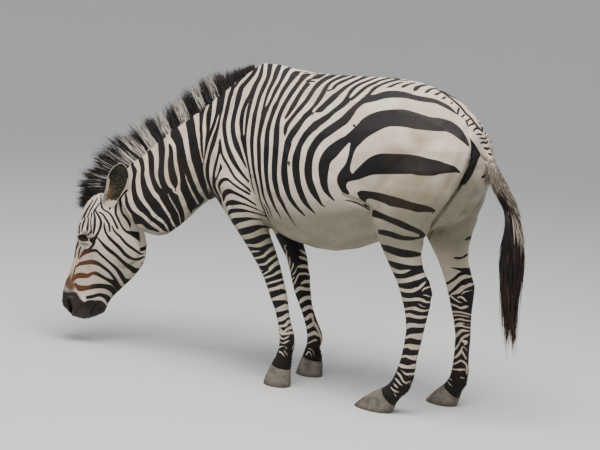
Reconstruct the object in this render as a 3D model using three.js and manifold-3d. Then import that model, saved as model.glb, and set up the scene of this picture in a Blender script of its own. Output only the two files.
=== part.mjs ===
// A life-size standing zebra with its head lowered to graze, as one still model.
// Millimetres, +Z up, soles at z = 0. The nose points to -X and the left side to -Y.
//
// Every fleshy part is a loft. A loft's stations give the outline as seen from the side: a front
// point, a back point, and how wide the body is there. Lofts that grow into each other are joined,
// and the joined body is then parted with thin cuts where its parts meet.
import * as THREE from "three";
import { mergeVertices } from "three/addons/utils/BufferGeometryUtils.js";
import Module from "manifold-3d";

const wasm = await Module();
wasm.setup();

// ---------- driving dimensions ----------
const GAP = 0.3; // clear space at every thin cut
const BODY_SHIFT = 236; // moves the mid-length of the whole animal to x = 0

const HEAD_PIVOT = new THREE.Vector3(-1060, -130, 0); // a plumb line down through the poll
const HEAD_TURN = THREE.MathUtils.degToRad(17); // the face is turned to the animal's left

const FORE_CUT = 640; // level at which a foreleg leaves the chest
const HIND_CUT = 690; // level at which a hind leg leaves the thigh
const SHOULDER_CUT = -270; // behind the shoulder
const LOIN_CUT = 185; // before the stifle
const NECK_CUT = { at: [-585, 0, 990], normal: [-0.9, 0, -0.1] };
const THROAT_CUT = { at: [-972, -110, 690], normal: [-0.76, -0.22, -0.5] };
const MUZZLE_CUT = 262; // level at which the muzzle begins
const EYE_RADIUS = 22;

// ---------- materials ----------
const finish = (color, roughness) => new THREE.MeshStandardMaterial({ color, roughness, metalness: 0 });
const COAT = finish(0xcabfae, 0.75);
const DARK_COAT = finish(0x1c1714, 0.7);
const MANE_HAIR = finish(0x4a453f, 0.8);
const TAIL_HAIR = finish(0x191412, 0.75);
const HORN = finish(0x84776a, 0.6);
const EYE = finish(0x0d0906, 0.08);

// ---------- lofts ----------
const vec = (p) => new THREE.Vector3(...p);
const smooth = (points) => new THREE.CatmullRomCurve3(points, false, "catmullrom", 0.5);

// Stations: { front, back, side, wide, belt, peak, keel }, with front and back as Vector3 and side a unit
// vector. belt is how far from back to front the section is widest, and peak and keel narrow it towards the
// front and back. around and rings set how finely it is faceted, and grow makes the whole loft fatter.
function loft(stations, { around, rings, grow = 0 }) {
  const fronts = smooth(stations.map((s) => s.front));
  const backs = smooth(stations.map((s) => s.back));
  const sides = smooth(stations.map((s) => s.side));
  const spans = smooth(stations.map((s) => new THREE.Vector3(s.wide, s.belt ?? 0.5, 0)));
  const shapes = smooth(stations.map((s) => new THREE.Vector3(s.peak ?? 0, s.keel ?? 0, 0)));
  const positions = [];
  const index = [];
  for (let i = 0; i <= rings; i++) {
    const t = i / rings;
    const front = fronts.getPoint(t);
    const back = backs.getPoint(t);
    const side = sides.getPoint(t).normalize();
    const { x: wide, y: belt } = spans.getPoint(t);
    const { x: peak, y: keel } = shapes.getPoint(t);
    const along = front.clone().sub(back);
    const length = along.length();
    along.normalize();
    const end = Number(i === rings) - Number(i === 0);
    back.addScaledVector(fronts.getTangent(t), end * grow);
    for (let j = 0; j < around; j++) {
      const a = (2 * Math.PI * j) / around;
      const s = Math.sin(a);
      const reach = s > 0 ? (1 - belt) * length + grow : belt * length + grow;
      const narrow = 1 - (s > 0 ? peak : keel) * s * s;
      const p = back.clone().addScaledVector(along, belt * length + reach * s);
      p.addScaledVector(side, (wide + grow) * narrow * Math.cos(a));
      positions.push(p.x, p.y, p.z);
    }
  }
  for (let i = 0; i < rings; i++) {
    for (let j = 0; j < around; j++) {
      const a = i * around + j;
      const b = i * around + ((j + 1) % around);
      index.push(a, a + around, b, b, a + around, b + around);
    }
  }
  for (const [ring, flip] of [[0, false], [rings, true]]) {
    for (let j = 1; j < around - 1; j++) {
      const a = ring * around + j;
      index.push(ring * around, flip ? a + 1 : a, flip ? a : a + 1);
    }
  }
  const geometry = new THREE.BufferGeometry();
  geometry.setAttribute("position", new THREE.Float32BufferAttribute(positions, 3));
  geometry.setIndex(index);
  return solid(geometry);
}

function solid(geometry) {
  geometry.deleteAttribute("normal");
  geometry.deleteAttribute("uv");
  const merged = mergeVertices(geometry, 1e-4);
  const triVerts = new Uint32Array(merged.index.array);
  const make = () => new wasm.Manifold(new wasm.Mesh({
    numProp: 3,
    vertProperties: new Float32Array(merged.attributes.position.array),
    triVerts,
  }));
  let made = make();
  if (made.volume() < 0) {
    for (let i = 0; i < triVerts.length; i += 3) {
      [triVerts[i], triVerts[i + 1]] = [triVerts[i + 1], triVerts[i]];
    }
    made = make();
  }
  return made;
}

function ellipsoid(centre, radii, { turn = 0, detail = 10, grow = 0 } = {}) {
  const geometry = new THREE.SphereGeometry(1, detail, detail / 2);
  geometry.scale(...radii.map((r) => r + grow));
  geometry.rotateZ(turn);
  geometry.translate(centre.x, centre.y, centre.z);
  return solid(geometry);
}

const join = (solids) => solids.reduce((all, s) => all.add(s));

// The two sides of a plane, GAP apart: [the side the normal points to, the other].
function part(body, { at, normal }) {
  const n = vec(normal).normalize();
  const level = n.dot(vec(at));
  const beyond = body.trimByPlane(n.toArray(), level + GAP / 2);
  const before = body.trimByPlane(n.clone().negate().toArray(), -(level - GAP / 2));
  return [beyond, before];
}

// ---------- stations ----------
const ACROSS = new THREE.Vector3(0, 1, 0);
// One station of the body: outline points as [x, z], and the y of the middle.
const at = (front, back, y, wide, more = {}) => ({
  front: new THREE.Vector3(front[0], y, front[1]),
  back: new THREE.Vector3(back[0], y, back[1]),
  side: ACROSS,
  wide,
  ...more,
});

// Head coordinates: s towards the face, z up, l out to the animal's left.
const FACING = new THREE.Vector3(-Math.cos(HEAD_TURN), -Math.sin(HEAD_TURN), 0);
const HEAD_LEFT = new THREE.Vector3(Math.sin(HEAD_TURN), -Math.cos(HEAD_TURN), 0);
const onHead = (s, l, z) => HEAD_PIVOT.clone().addScaledVector(FACING, s).addScaledVector(HEAD_LEFT, l)
  .setZ(z);
const faceAt = (front, back, wide, more = {}) => ({
  front: onHead(front[0], 0, front[1]),
  back: onHead(back[0], 0, back[1]),
  side: HEAD_LEFT.clone().negate(),
  wide,
  ...more,
});

const TRUNK = [
  at([630, 1040], [630, 960], 0, 55),
  at([615, 1140], [604, 870], 0, 130),
  at([565, 1238], [548, 800], 0, 182),
  at([470, 1305], [455, 750], 0, 222),
  at([345, 1350], [330, 716], 0, 243, { peak: 0.2 }),
  at([206, 1366], [200, 682], 0, 262, { belt: 0.45, peak: 0.2 }),
  at([60, 1359], [60, 618], 0, 278, { belt: 0.42, peak: 0.2 }),
  at([-75, 1351], [-70, 601], 0, 277, { belt: 0.42, peak: 0.25 }),
  at([-200, 1348], [-200, 616], 0, 260, { belt: 0.42, peak: 0.3 }),
  at([-330, 1358], [-320, 650], 0, 232, { belt: 0.42, peak: 0.42 }),
  at([-436, 1367], [-430, 684], 0, 210, { belt: 0.42, peak: 0.55 }),
  at([-530, 1300], [-520, 705], 0, 172, { peak: 0.5 }),
  at([-592, 1150], [-590, 740], 0, 122, { peak: 0.3 }),
  at([-622, 1000], [-620, 810], 0, 55),
];

const NECK = [
  at([-430, 1352], [-430, 745], 0, 150, { peak: 0.65 }),
  at([-540, 1298], [-570, 742], -8, 132, { peak: 0.6 }),
  at([-632, 1221], [-640, 742], -20, 114, { peak: 0.55 }),
  at([-734, 1136], [-692, 700], -40, 98, { peak: 0.5 }),
  at([-850, 1042], [-745, 632], -70, 88, { peak: 0.45 }),
  at([-972, 928], [-812, 562], -104, 84, { peak: 0.4 }),
  at([-1038, 858], [-868, 548], -122, 84, { peak: 0.3 }),
  at([-1078, 785], [-912, 560], -134, 78, { peak: 0.2 }),
];

const HEAD = [
  faceAt([92, 742], [-52, 700], 46),
  faceAt([146, 690], [-92, 628], 76, { peak: 0.15 }),
  faceAt([180, 618], [-114, 560], 92, { peak: 0.1, keel: 0.3, belt: 0.58 }),
  faceAt([197, 550], [-130, 500], 97, { peak: 0.15, keel: 0.42, belt: 0.6 }),
  faceAt([202, 480], [-134, 440], 92, { peak: 0.25, keel: 0.45, belt: 0.58 }),
  faceAt([209, 412], [-118, 388], 81, { peak: 0.32, keel: 0.45, belt: 0.55 }),
  faceAt([222, 346], [-80, 334], 69, { peak: 0.38, keel: 0.4, belt: 0.52 }),
  faceAt([237, 286], [-34, 282], 60, { peak: 0.35, keel: 0.3 }),
  faceAt([249, 234], [6, 238], 56, { peak: 0.2, keel: 0.2 }),
  faceAt([250, 192], [30, 202], 57, { peak: 0.1, keel: 0.2 }),
  faceAt([238, 156], [42, 168], 54, { peak: 0.1, keel: 0.2 }),
  faceAt([212, 130], [74, 140], 45),
  faceAt([176, 116], [116, 118], 26),
];

// Legs run from inside the trunk down to below the soles, which a cut at z = 0 makes flat.
const FORE_TOP = (y) => [
  at([-520, 1190], [-330, 1190], 0.6 * y, 58),
  at([-585, 1040], [-325, 1040], 0.92 * y, 84),
  at([-602, 900], [-312, 900], 1.08 * y, 90),
  at([-550, 782], [-298, 782], 1.1 * y, 80),
];

const FORE_LEFT = [
  ...FORE_TOP(-135),
  at([-456, 678], [-290, 678], -142, 66),
  at([-390, 600], [-256, 606], -136, 54),
  at([-319, 510], [-215, 514], -132, 44),
  at([-274, 440], [-190, 444], -130, 38),
  at([-250, 383], [-170, 386], -128, 38),
  at([-222, 330], [-158, 332], -127, 29),
  at([-200, 262], [-138, 264], -126, 26),
  at([-188, 208], [-114, 204], -125, 32),
  at([-190, 158], [-126, 148], -125, 29),
  at([-216, 94], [-128, 78], -125, 42),
  at([-238, 42], [-124, 30], -125, 49),
  at([-252, -10], [-122, -14], -125, 52),
];

const FORE_RIGHT = [
  ...FORE_TOP(135),
  at([-466, 684], [-304, 684], 142, 66),
  at([-402, 606], [-274, 610], 136, 54),
  at([-334, 514], [-230, 516], 133, 44),
  at([-302, 442], [-214, 444], 131, 39),
  at([-278, 372], [-198, 372], 130, 38),
  at([-248, 314], [-184, 312], 129, 29),
  at([-214, 246], [-150, 242], 128, 26),
  at([-192, 190], [-116, 182], 127, 32),
  at([-188, 140], [-126, 126], 127, 29),
  at([-204, 84], [-108, 66], 127, 42),
  at([-220, 38], [-104, 26], 127, 49),
  at([-232, -10], [-104, -14], 127, 52),
];

const HIND_LEFT = [
  at([330, 1215], [585, 1180], -96, 72),
  at([262, 1080], [612, 1100], -138, 98),
  at([222, 970], [590, 990], -158, 110),
  at([212, 868], [538, 888], -164, 106),
  at([220, 780], [480, 798], -164, 90),
  at([262, 708], [447, 716], -160, 70),
  at([303, 632], [452, 642], -157, 54),
  at([350, 556], [489, 575], -154, 44),
  at([376, 495], [509, 515], -152, 40),
  at([396, 436], [500, 446], -150, 36),
  at([409, 370], [489, 376], -149, 29),
  at([405, 298], [478, 302], -148, 26),
  at([394, 222], [465, 222], -148, 27),
  at([374, 158], [456, 128], -147, 34),
  at([354, 122], [416, 76], -147, 31),
  at([326, 100], [390, 34], -147, 41),
  at([276, 68], [372, -16], -147, 49),
  at([234, 34], [330, -70], -147, 50),
  at([206, 4], [280, -96], -147, 42),
];

const HIND_RIGHT = [
  at([330, 1215], [585, 1180], 96, 72),
  at([266, 1080], [606, 1095], 138, 98),
  at([240, 970], [590, 990], 158, 108),
  at([244, 872], [570, 880], 164, 102),
  at([268, 790], [542, 800], 162, 88),
  at([318, 712], [524, 722], 158, 70),
  at([376, 636], [520, 640], 155, 54),
  at([418, 560], [548, 568], 153, 44),
  at([444, 500], [570, 512], 151, 40),
  at([466, 438], [566, 444], 150, 36),
  at([489, 370], [568, 372], 149, 29),
  at([505, 300], [574, 300], 148, 26),
  at([507, 218], [574, 216], 148, 27),
  at([504, 146], [580, 122], 148, 34),
  at([492, 112], [562, 74], 148, 31),
  at([476, 88], [552, 38], 148, 41),
  at([446, 58], [536, -14], 148, 48),
  at([422, 32], [510, -56], 148, 50),
  at([400, 4], [470, -90], 148, 44),
];

const DOCK = [
  at([480, 1262], [500, 1180], 0, 40),
  at([556, 1222], [520, 1146], 0, 36),
  at([618, 1146], [566, 1096], 0, 31),
  at([660, 1078], [612, 1038], 0, 26),
  at([706, 1006], [662, 976], 0, 23),
  at([754, 930], [714, 908], 0, 20),
  at([780, 862], [744, 846], 0, 17),
];

const SWITCH = [
  at([752, 936], [710, 916], 0, 22),
  at([788, 858], [730, 840], 0, 30),
  at([816, 776], [726, 762], 0, 40),
  at([828, 690], [724, 680], 0, 44),
  at([832, 590], [734, 584], 0, 40),
  at([832, 490], [752, 484], 0, 32),
  at([832, 390], [780, 384], 0, 20),
  at([826, 304], [812, 300], 0, 5),
];

// The upright mane, from the withers over the poll to the forelock: roots inside the neck, tips outside.
const MANE = [
  at([-500, 1350], [-486, 1320], -4, 12),
  at([-600, 1300], [-570, 1240], -14, 17, { peak: 0.5 }),
  at([-698, 1252], [-650, 1150], -30, 20, { peak: 0.5 }),
  at([-806, 1176], [-752, 1068], -52, 22, { peak: 0.5 }),
  at([-922, 1090], [-856, 974], -80, 24, { peak: 0.5 }),
  at([-1042, 1010], [-950, 888], -108, 25, { peak: 0.5 }),
  at([-1156, 924], [-1026, 806], -134, 26, { peak: 0.5 }),
  at([-1232, 802], [-1066, 744], -154, 26, { peak: 0.5 }),
  at([-1262, 694], [-1100, 700], -174, 24, { peak: 0.5 }),
  at([-1242, 620], [-1150, 660], -170, 16, { peak: 0.3 }),
];

// ---------- flesh ----------
const headFlesh = (grow = 0) => join([
  loft(HEAD, { around: 18, rings: 17, grow }),
  ...[1, -1].flatMap((side) => [
    ellipsoid(onHead(128, side * 62, 522), [44, 34, 34], { turn: HEAD_TURN, grow }), // brow
    ellipsoid(onHead(-34, side * 50, 478), [88, 34, 96], { turn: HEAD_TURN, grow }), // cheek
    ellipsoid(onHead(206, side * 30, 190), [38, 30, 42], { turn: HEAD_TURN, grow }), // nostril swell
  ]),
  ellipsoid(onHead(84, 0, 172), [44, 40, 34], { turn: HEAD_TURN, grow }), // chin
]);

const neckFlesh = (grow = 0) => loft(NECK, { around: 20, rings: 11, grow });
const trunkFlesh = (grow = 0) => loft(TRUNK, { around: 26, rings: 18, grow });
const dockFlesh = (grow = 0) => loft(DOCK, { around: 10, rings: 9, grow });
const limbFlesh = (stations, grow = 0) => loft(stations, {
  around: 14,
  rings: Math.round(1.3 * (stations.length - 1)),
  grow,
});

// A limb as [top inside the trunk, upper leg, lower leg, hoof].
function limb(stations, cut, joint, coronet) {
  const [above, leg] = part(limbFlesh(stations), { at: [0, 0, cut], normal: [0, 0, 1] });
  const [upper, rest] = part(leg, { at: [0, 0, joint], normal: [0, 0, 1] });
  const [lower, foot] = part(rest, coronet);
  const hoof = foot.trimByPlane([0, 0, 1], 0);
  return { above, upper, lower, hoof };
}

const limbs = {
  fore_left: limb(FORE_LEFT, FORE_CUT, 392, { at: [-172, 0, 84], normal: [0.15, 0, 1] }),
  fore_right: limb(FORE_RIGHT, FORE_CUT, 378, { at: [-158, 0, 76], normal: [0.15, 0, 1] }),
  hind_left: limb(HIND_LEFT, HIND_CUT, 500, { at: [357, 0, 68], normal: [0.72, 0, 0.7] }),
  hind_right: limb(HIND_RIGHT, HIND_CUT, 500, { at: [512, 0, 64], normal: [0.55, 0, 0.83] }),
};

const body = join([trunkFlesh(), neckFlesh(), headFlesh(), ...Object.values(limbs).map((l) => l.above)]);
const rump = join([trunkFlesh(GAP), limbFlesh(HIND_LEFT, GAP), limbFlesh(HIND_RIGHT, GAP)]);

const [foremost, rear] = part(body, NECK_CUT);
const [headWhole, neck] = part(foremost, THROAT_CUT);
const [faceTop, muzzleWhole] = part(headWhole, { at: [0, 0, MUZZLE_CUT], normal: [0, 0, 1] });
const [behindShoulder, forequarters] = part(rear, { at: [SHOULDER_CUT, 0, 0], normal: [1, 0, 0] });
const [hindquarters, barrel] = part(behindShoulder, { at: [LOIN_CUT, 0, 0], normal: [1, 0, 0] });
const dock = dockFlesh().subtract(rump);

// ---------- eyes, nostrils and ears ----------
const eyeAt = (side) => onHead(136, side * 80, 508);
const eyeball = (side, grow = 0) => ellipsoid(eyeAt(side), [EYE_RADIUS, EYE_RADIUS, EYE_RADIUS],
  { detail: 14, grow });
const nostril = (side) => ellipsoid(onHead(232, side * 44, 184), [20, 12, 24],
  { turn: HEAD_TURN + side * 0.5 });

const earAt = (side) => (front, back, out, wide) => ({
  front: onHead(front[0], side * out, front[1]),
  back: onHead(back[0], side * out, back[1]),
  side: HEAD_LEFT.clone().negate(),
  wide,
});

function ear(side) {
  const put = earAt(side);
  const shell = loft([
    put([50, 640], [2, 640], 64, 24),
    put([62, 676], [-12, 690], 78, 30),
    put([68, 726], [-38, 742], 94, 34),
    put([58, 780], [-52, 796], 106, 28),
    put([24, 834], [-42, 842], 114, 16),
    put([-8, 858], [-28, 862], 118, 6),
  ], { around: 14, rings: 8 });
  const hollow = loft([
    put([44, 662], [2, 666], 98, 20),
    put([57, 700], [-14, 716], 118, 36),
    put([58, 750], [-36, 768], 132, 40),
    put([42, 806], [-42, 816], 134, 30),
    put([8, 842], [-30, 848], 134, 18),
  ], { around: 10, rings: 6 });
  return shell.subtract(hollow).subtract(headFlesh(GAP)).subtract(neckFlesh(GAP));
}

const face = faceTop.subtract(eyeball(1, GAP)).subtract(eyeball(-1, GAP));
const muzzle = muzzleWhole.subtract(nostril(1)).subtract(nostril(-1));

// ---------- hair solids ----------
const mane = loft(MANE, { around: 8, rings: 15 }).subtract(neckFlesh(GAP)).subtract(headFlesh(GAP))
  .subtract(trunkFlesh(GAP));
const tailSwitch = loft(SWITCH, { around: 10, rings: 12 }).subtract(dockFlesh(GAP));

// ---------- scene graph ----------
function meshOf(name, made, material) {
  const largest = made.decompose().reduce((a, b) => (b.volume() > a.volume() ? b : a));
  const { numProp, vertProperties, triVerts } = largest.getMesh();
  const positions = new Float32Array((vertProperties.length / numProp) * 3);
  for (let i = 0; i < positions.length / 3; i++) {
    positions.set(vertProperties.subarray(i * numProp, i * numProp + 3), i * 3);
  }
  const geometry = new THREE.BufferGeometry();
  geometry.setAttribute("position", new THREE.BufferAttribute(positions, 3));
  geometry.setIndex(new THREE.BufferAttribute(triVerts, 1));
  geometry.computeVertexNormals();
  const mesh = new THREE.Mesh(geometry, material);
  mesh.name = name;
  return mesh;
}

const zebra = new THREE.Group();
zebra.position.x = BODY_SHIFT;

const parts = [
  ["head", face, COAT],
  ["muzzle", muzzle, DARK_COAT],
  ["neck", neck, COAT],
  ["forequarters", forequarters, COAT],
  ["barrel", barrel, COAT],
  ["hindquarters", hindquarters, COAT],
  ["tail_dock", dock, COAT],
  ["tail_switch", tailSwitch, TAIL_HAIR],
  ["mane", mane, MANE_HAIR],
  ["eye_left", eyeball(1), EYE],
  ["eye_right", eyeball(-1), EYE],
  ["ear_left", ear(1), COAT],
  ["ear_right", ear(-1), COAT],
];
for (const [name, made, material] of parts) zebra.add(meshOf(name, made, material));

const SEGMENTS = {
  fore: { upper: "forearm", lower: "fore_cannon" },
  hind: { upper: "gaskin", lower: "hind_cannon" },
};
for (const [place, { upper, lower, hoof }] of Object.entries(limbs)) {
  const [end, hand] = place.split("_");
  zebra.add(meshOf(`${SEGMENTS[end].upper}_${hand}`, upper, COAT));
  zebra.add(meshOf(`${SEGMENTS[end].lower}_${hand}`, lower, COAT));
  zebra.add(meshOf(`${end}_hoof_${hand}`, hoof, HORN));
}

export default zebra;
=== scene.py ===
import bpy
import bmesh
import math
import numpy as np
from mathutils import Vector, Matrix, bvhtree


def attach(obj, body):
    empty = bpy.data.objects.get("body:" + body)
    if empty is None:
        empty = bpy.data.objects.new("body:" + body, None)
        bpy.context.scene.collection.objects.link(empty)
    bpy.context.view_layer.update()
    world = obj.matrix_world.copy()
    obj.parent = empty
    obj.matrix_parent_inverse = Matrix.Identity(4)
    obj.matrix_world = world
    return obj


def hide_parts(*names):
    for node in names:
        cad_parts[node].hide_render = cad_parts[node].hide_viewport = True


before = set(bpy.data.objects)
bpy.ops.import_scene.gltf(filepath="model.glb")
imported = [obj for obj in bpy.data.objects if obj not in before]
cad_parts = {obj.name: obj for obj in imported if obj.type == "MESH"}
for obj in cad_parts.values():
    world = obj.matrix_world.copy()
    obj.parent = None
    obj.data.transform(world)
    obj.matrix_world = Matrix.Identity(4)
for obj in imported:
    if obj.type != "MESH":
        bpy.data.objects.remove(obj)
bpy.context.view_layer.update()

# ---------- camera, floor and light ----------
# Seen from behind the left flank, from about a man's height and six and a half metres away. One big soft
# light overhead and a pale surround stand in for open shade.
IMAGE_WIDTH = 600
FRAME_MIDDLE = (300, 225)
SENSOR_WIDTH = 36
CAMERA_AT = Vector((3.1545, -5.7279, 1.7858))
CAMERA_AZIMUTH = math.radians(28.608)
CAMERA_ELEVATION = math.radians(9.576)
CAMERA_ROLL = math.radians(4.732)
FOCAL_PIXELS = 1529.25

back = Vector((
    math.sin(CAMERA_AZIMUTH) * math.cos(CAMERA_ELEVATION),
    -math.cos(CAMERA_AZIMUTH) * math.cos(CAMERA_ELEVATION),
    math.sin(CAMERA_ELEVATION),
))
level_right = (-back).cross(Vector((0, 0, 1))).normalized()
level_up = level_right.cross(-back)
view_right = level_right * math.cos(CAMERA_ROLL) + level_up * math.sin(CAMERA_ROLL)
view_up = level_up * math.cos(CAMERA_ROLL) - level_right * math.sin(CAMERA_ROLL)

camera = bpy.data.objects.new("camera", bpy.data.cameras.new("camera"))
bpy.context.scene.collection.objects.link(camera)
camera.matrix_world = Matrix.Translation(CAMERA_AT) @ Matrix(
    (view_right, view_up, back)).transposed().to_4x4()
camera.data.sensor_width = SENSOR_WIDTH
camera.data.lens = FOCAL_PIXELS * SENSOR_WIDTH / IMAGE_WIDTH
camera.data.clip_end = 100
bpy.context.scene.camera = camera


def new_paint(name, plain):
    """A new material, its nodes and its shader; plain gives the inputs that are the same all over."""
    paint = bpy.data.materials.new(name)
    paint.use_nodes = True
    shader = paint.node_tree.nodes["Principled BSDF"]
    for key, value in plain.items():
        shader.inputs[key].default_value = value
    return paint, paint.node_tree, shader


FLOOR_FLAT = 7.5
FLOOR_RISE = 6.5
FLOOR_SIDES = 96
FLOOR_STEPS = 12
floor_rings = [(FLOOR_FLAT, 0.0)]
for step in range(1, FLOOR_STEPS + 1):
    turn = math.pi / 2 * step / FLOOR_STEPS
    floor_rings.append((FLOOR_FLAT + FLOOR_RISE * math.sin(turn), FLOOR_RISE * (1 - math.cos(turn))))
floor_turns = [2 * math.pi * k / FLOOR_SIDES for k in range(FLOOR_SIDES)]
floor_places = [
    (radius * math.cos(turn), radius * math.sin(turn), height)
    for radius, height in floor_rings for turn in floor_turns]
floor_faces = [tuple(range(FLOOR_SIDES))]
for ring in range(len(floor_rings) - 1):
    for k in range(FLOOR_SIDES):
        a = ring * FLOOR_SIDES + k
        b = ring * FLOOR_SIDES + (k + 1) % FLOOR_SIDES
        floor_faces.append((a, a + FLOOR_SIDES, b + FLOOR_SIDES, b))
floor_mesh = bpy.data.meshes.new("floor")
floor_mesh.from_pydata(floor_places, [], floor_faces)
floor_mesh.polygons.foreach_set("use_smooth", [True] * len(floor_mesh.polygons))
floor = bpy.data.objects.new("floor", floor_mesh)
bpy.context.scene.collection.objects.link(floor)
floor_paint = new_paint("pale floor", {"Base Color": (0.62, 0.62, 0.60, 1), "Roughness": 0.9})[0]
floor_mesh.materials.append(floor_paint)


def soft_light(name, place, aim, size, power, colour=(1, 1, 1)):
    light = bpy.data.lights.new(name, "AREA")
    light.shape = "RECTANGLE"
    light.size, light.size_y = size
    light.energy = power
    light.color = colour
    lamp = bpy.data.objects.new(name, light)
    lamp.location = place
    lamp.rotation_euler = (Vector(aim) - Vector(place)).to_track_quat("-Z", "Y").to_euler()
    bpy.context.scene.collection.objects.link(lamp)


soft_light("overhead", (0.9, -1.4, 5.2), (0, 0, 0.7), (4, 3), 430, (1, 0.985, 0.96))
soft_light("fill_left", (-2.2, -5.5, 2.6), (0, 0, 0.7), (3, 2.4), 60, (0.97, 0.985, 1))
surround = bpy.data.worlds.new("surround")
surround.use_nodes = True
surround.node_tree.nodes["Background"].inputs["Color"].default_value = (0.86, 0.9, 0.95, 1)
surround.node_tree.nodes["Background"].inputs["Strength"].default_value = 0.66
bpy.context.scene.world = surround

# ---------- skin ----------
# One skin over the whole body, from muzzle to hooves and tail. It starts from the body's solids and the
# swell over each eyeball, is remeshed as one, and is then relaxed where the solids meet.
FLESH = [
    "head", "muzzle", "neck", "forequarters", "barrel", "hindquarters", "tail_dock",
    "forearm_left", "forearm_right", "fore_cannon_left", "fore_cannon_right",
    "gaskin_left", "gaskin_right", "hind_cannon_left", "hind_cannon_right",
]
OVERLAP = 0.0012
VOXEL = 0.0045
COAT_DEPTH = 0.0015
EYE_COVER = 0.004
HEAD_PIVOT = np.array([-0.824, -0.130, 0.0])
HEAD_TURN = math.radians(17)
HEAD_LEFT = np.array([math.sin(HEAD_TURN), -math.cos(HEAD_TURN), 0.0])
EYE_RADIUS = 0.027
EYE_SPOT = (84.6, 237.9)
EYE_OUT = 0.0645
camera_place = np.array(CAMERA_AT)
towards_camera = np.array(back)


def read_points(mesh):
    points = np.empty(len(mesh.vertices) * 3, np.float32)
    mesh.vertices.foreach_get("co", points)
    return points.reshape(-1, 3).astype(float)


def write_points(mesh, points):
    mesh.vertices.foreach_set("co", points.astype(np.float32).ravel())
    mesh.update()


def read_normals(mesh):
    normals = np.empty(len(mesh.vertices) * 3, np.float32)
    mesh.vertex_normals.foreach_get("vector", normals)
    return normals.reshape(-1, 3).astype(float)


def read_edges(mesh):
    edges = np.empty(len(mesh.edges) * 2, np.int32)
    mesh.edges.foreach_get("vertices", edges)
    return edges.reshape(-1, 2)


def relax(points, edges, rounds, keep_size=True):
    """Evens out a mesh: each round moves a point towards its neighbours' mean, and then a little back."""
    count = len(points)
    degree = np.bincount(edges.ravel(), minlength=count)[:, None]
    for _ in range(rounds):
        for pull in ((0.5, -0.52) if keep_size else (0.5,)):
            total = np.stack([
                np.bincount(edges[:, 0], points[edges[:, 1], axis], count)
                + np.bincount(edges[:, 1], points[edges[:, 0], axis], count)
                for axis in range(3)], 1)
            points = points + pull * (total / degree - points)
    return points


def sight_lines(spots):
    """Directions from the camera through pixel spots, one unit deep."""
    spots = np.atleast_2d(np.array(spots, float))
    return (-towards_camera + np.outer(spots[:, 0] - FRAME_MIDDLE[0], view_right) / FOCAL_PIXELS
            + np.outer(FRAME_MIDDLE[1] - spots[:, 1], view_up) / FOCAL_PIXELS)


def beside_head(spots, out):
    """Points seen at pixel spots that lie out metres to the left of the head's middle plane."""
    rays = sight_lines(spots)
    start = (camera_place - HEAD_PIVOT) @ HEAD_LEFT
    return camera_place + rays * ((np.array(out) - start) / (rays @ HEAD_LEFT))[:, None]


def on_right(places):
    """The same places on the right side of the head."""
    return places - 2 * np.outer((places - HEAD_PIVOT) @ HEAD_LEFT, HEAD_LEFT)


eye_centre = beside_head([EYE_SPOT], [EYE_OUT])[0]
body_bm = bmesh.new()
for centre in (eye_centre, on_right(eye_centre[None])[0]):
    bmesh.ops.create_icosphere(
        body_bm, subdivisions=4, radius=EYE_RADIUS + EYE_COVER, matrix=Matrix.Translation(centre))
for name in FLESH:
    solid_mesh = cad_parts[name].data.copy()
    write_points(solid_mesh, read_points(solid_mesh) + OVERLAP * read_normals(solid_mesh))
    body_bm.from_mesh(solid_mesh)
bmesh.ops.remove_doubles(body_bm, verts=body_bm.verts, dist=1e-6)
skin_mesh = bpy.data.meshes.new("skin")
body_bm.to_mesh(skin_mesh)
body_bm.free()
skin = bpy.data.objects.new("skin", skin_mesh)
bpy.context.scene.collection.objects.link(skin)
remesh = skin.modifiers.new("remesh", "REMESH")
remesh.mode = "VOXEL"
remesh.voxel_size = VOXEL
skin_mesh = bpy.data.meshes.new_from_object(skin.evaluated_get(bpy.context.evaluated_depsgraph_get()))
skin.modifiers.clear()
skin.data = skin_mesh
points = read_points(skin_mesh)
edges = read_edges(skin_mesh)
points = relax(points, edges, 6, keep_size=False)
points = relax(points, edges, 40)
write_points(skin_mesh, points)
skin_mesh.polygons.foreach_set("use_smooth", [True] * len(skin_mesh.polygons))
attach(skin, "root")
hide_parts(*FLESH)

# ---------- markings ----------
# Bands of black hair on cream, narrow on the face, neck and legs and broad over the rump, with a grid of
# short ones along the croup. The belly and the inner thighs have none.

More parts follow.
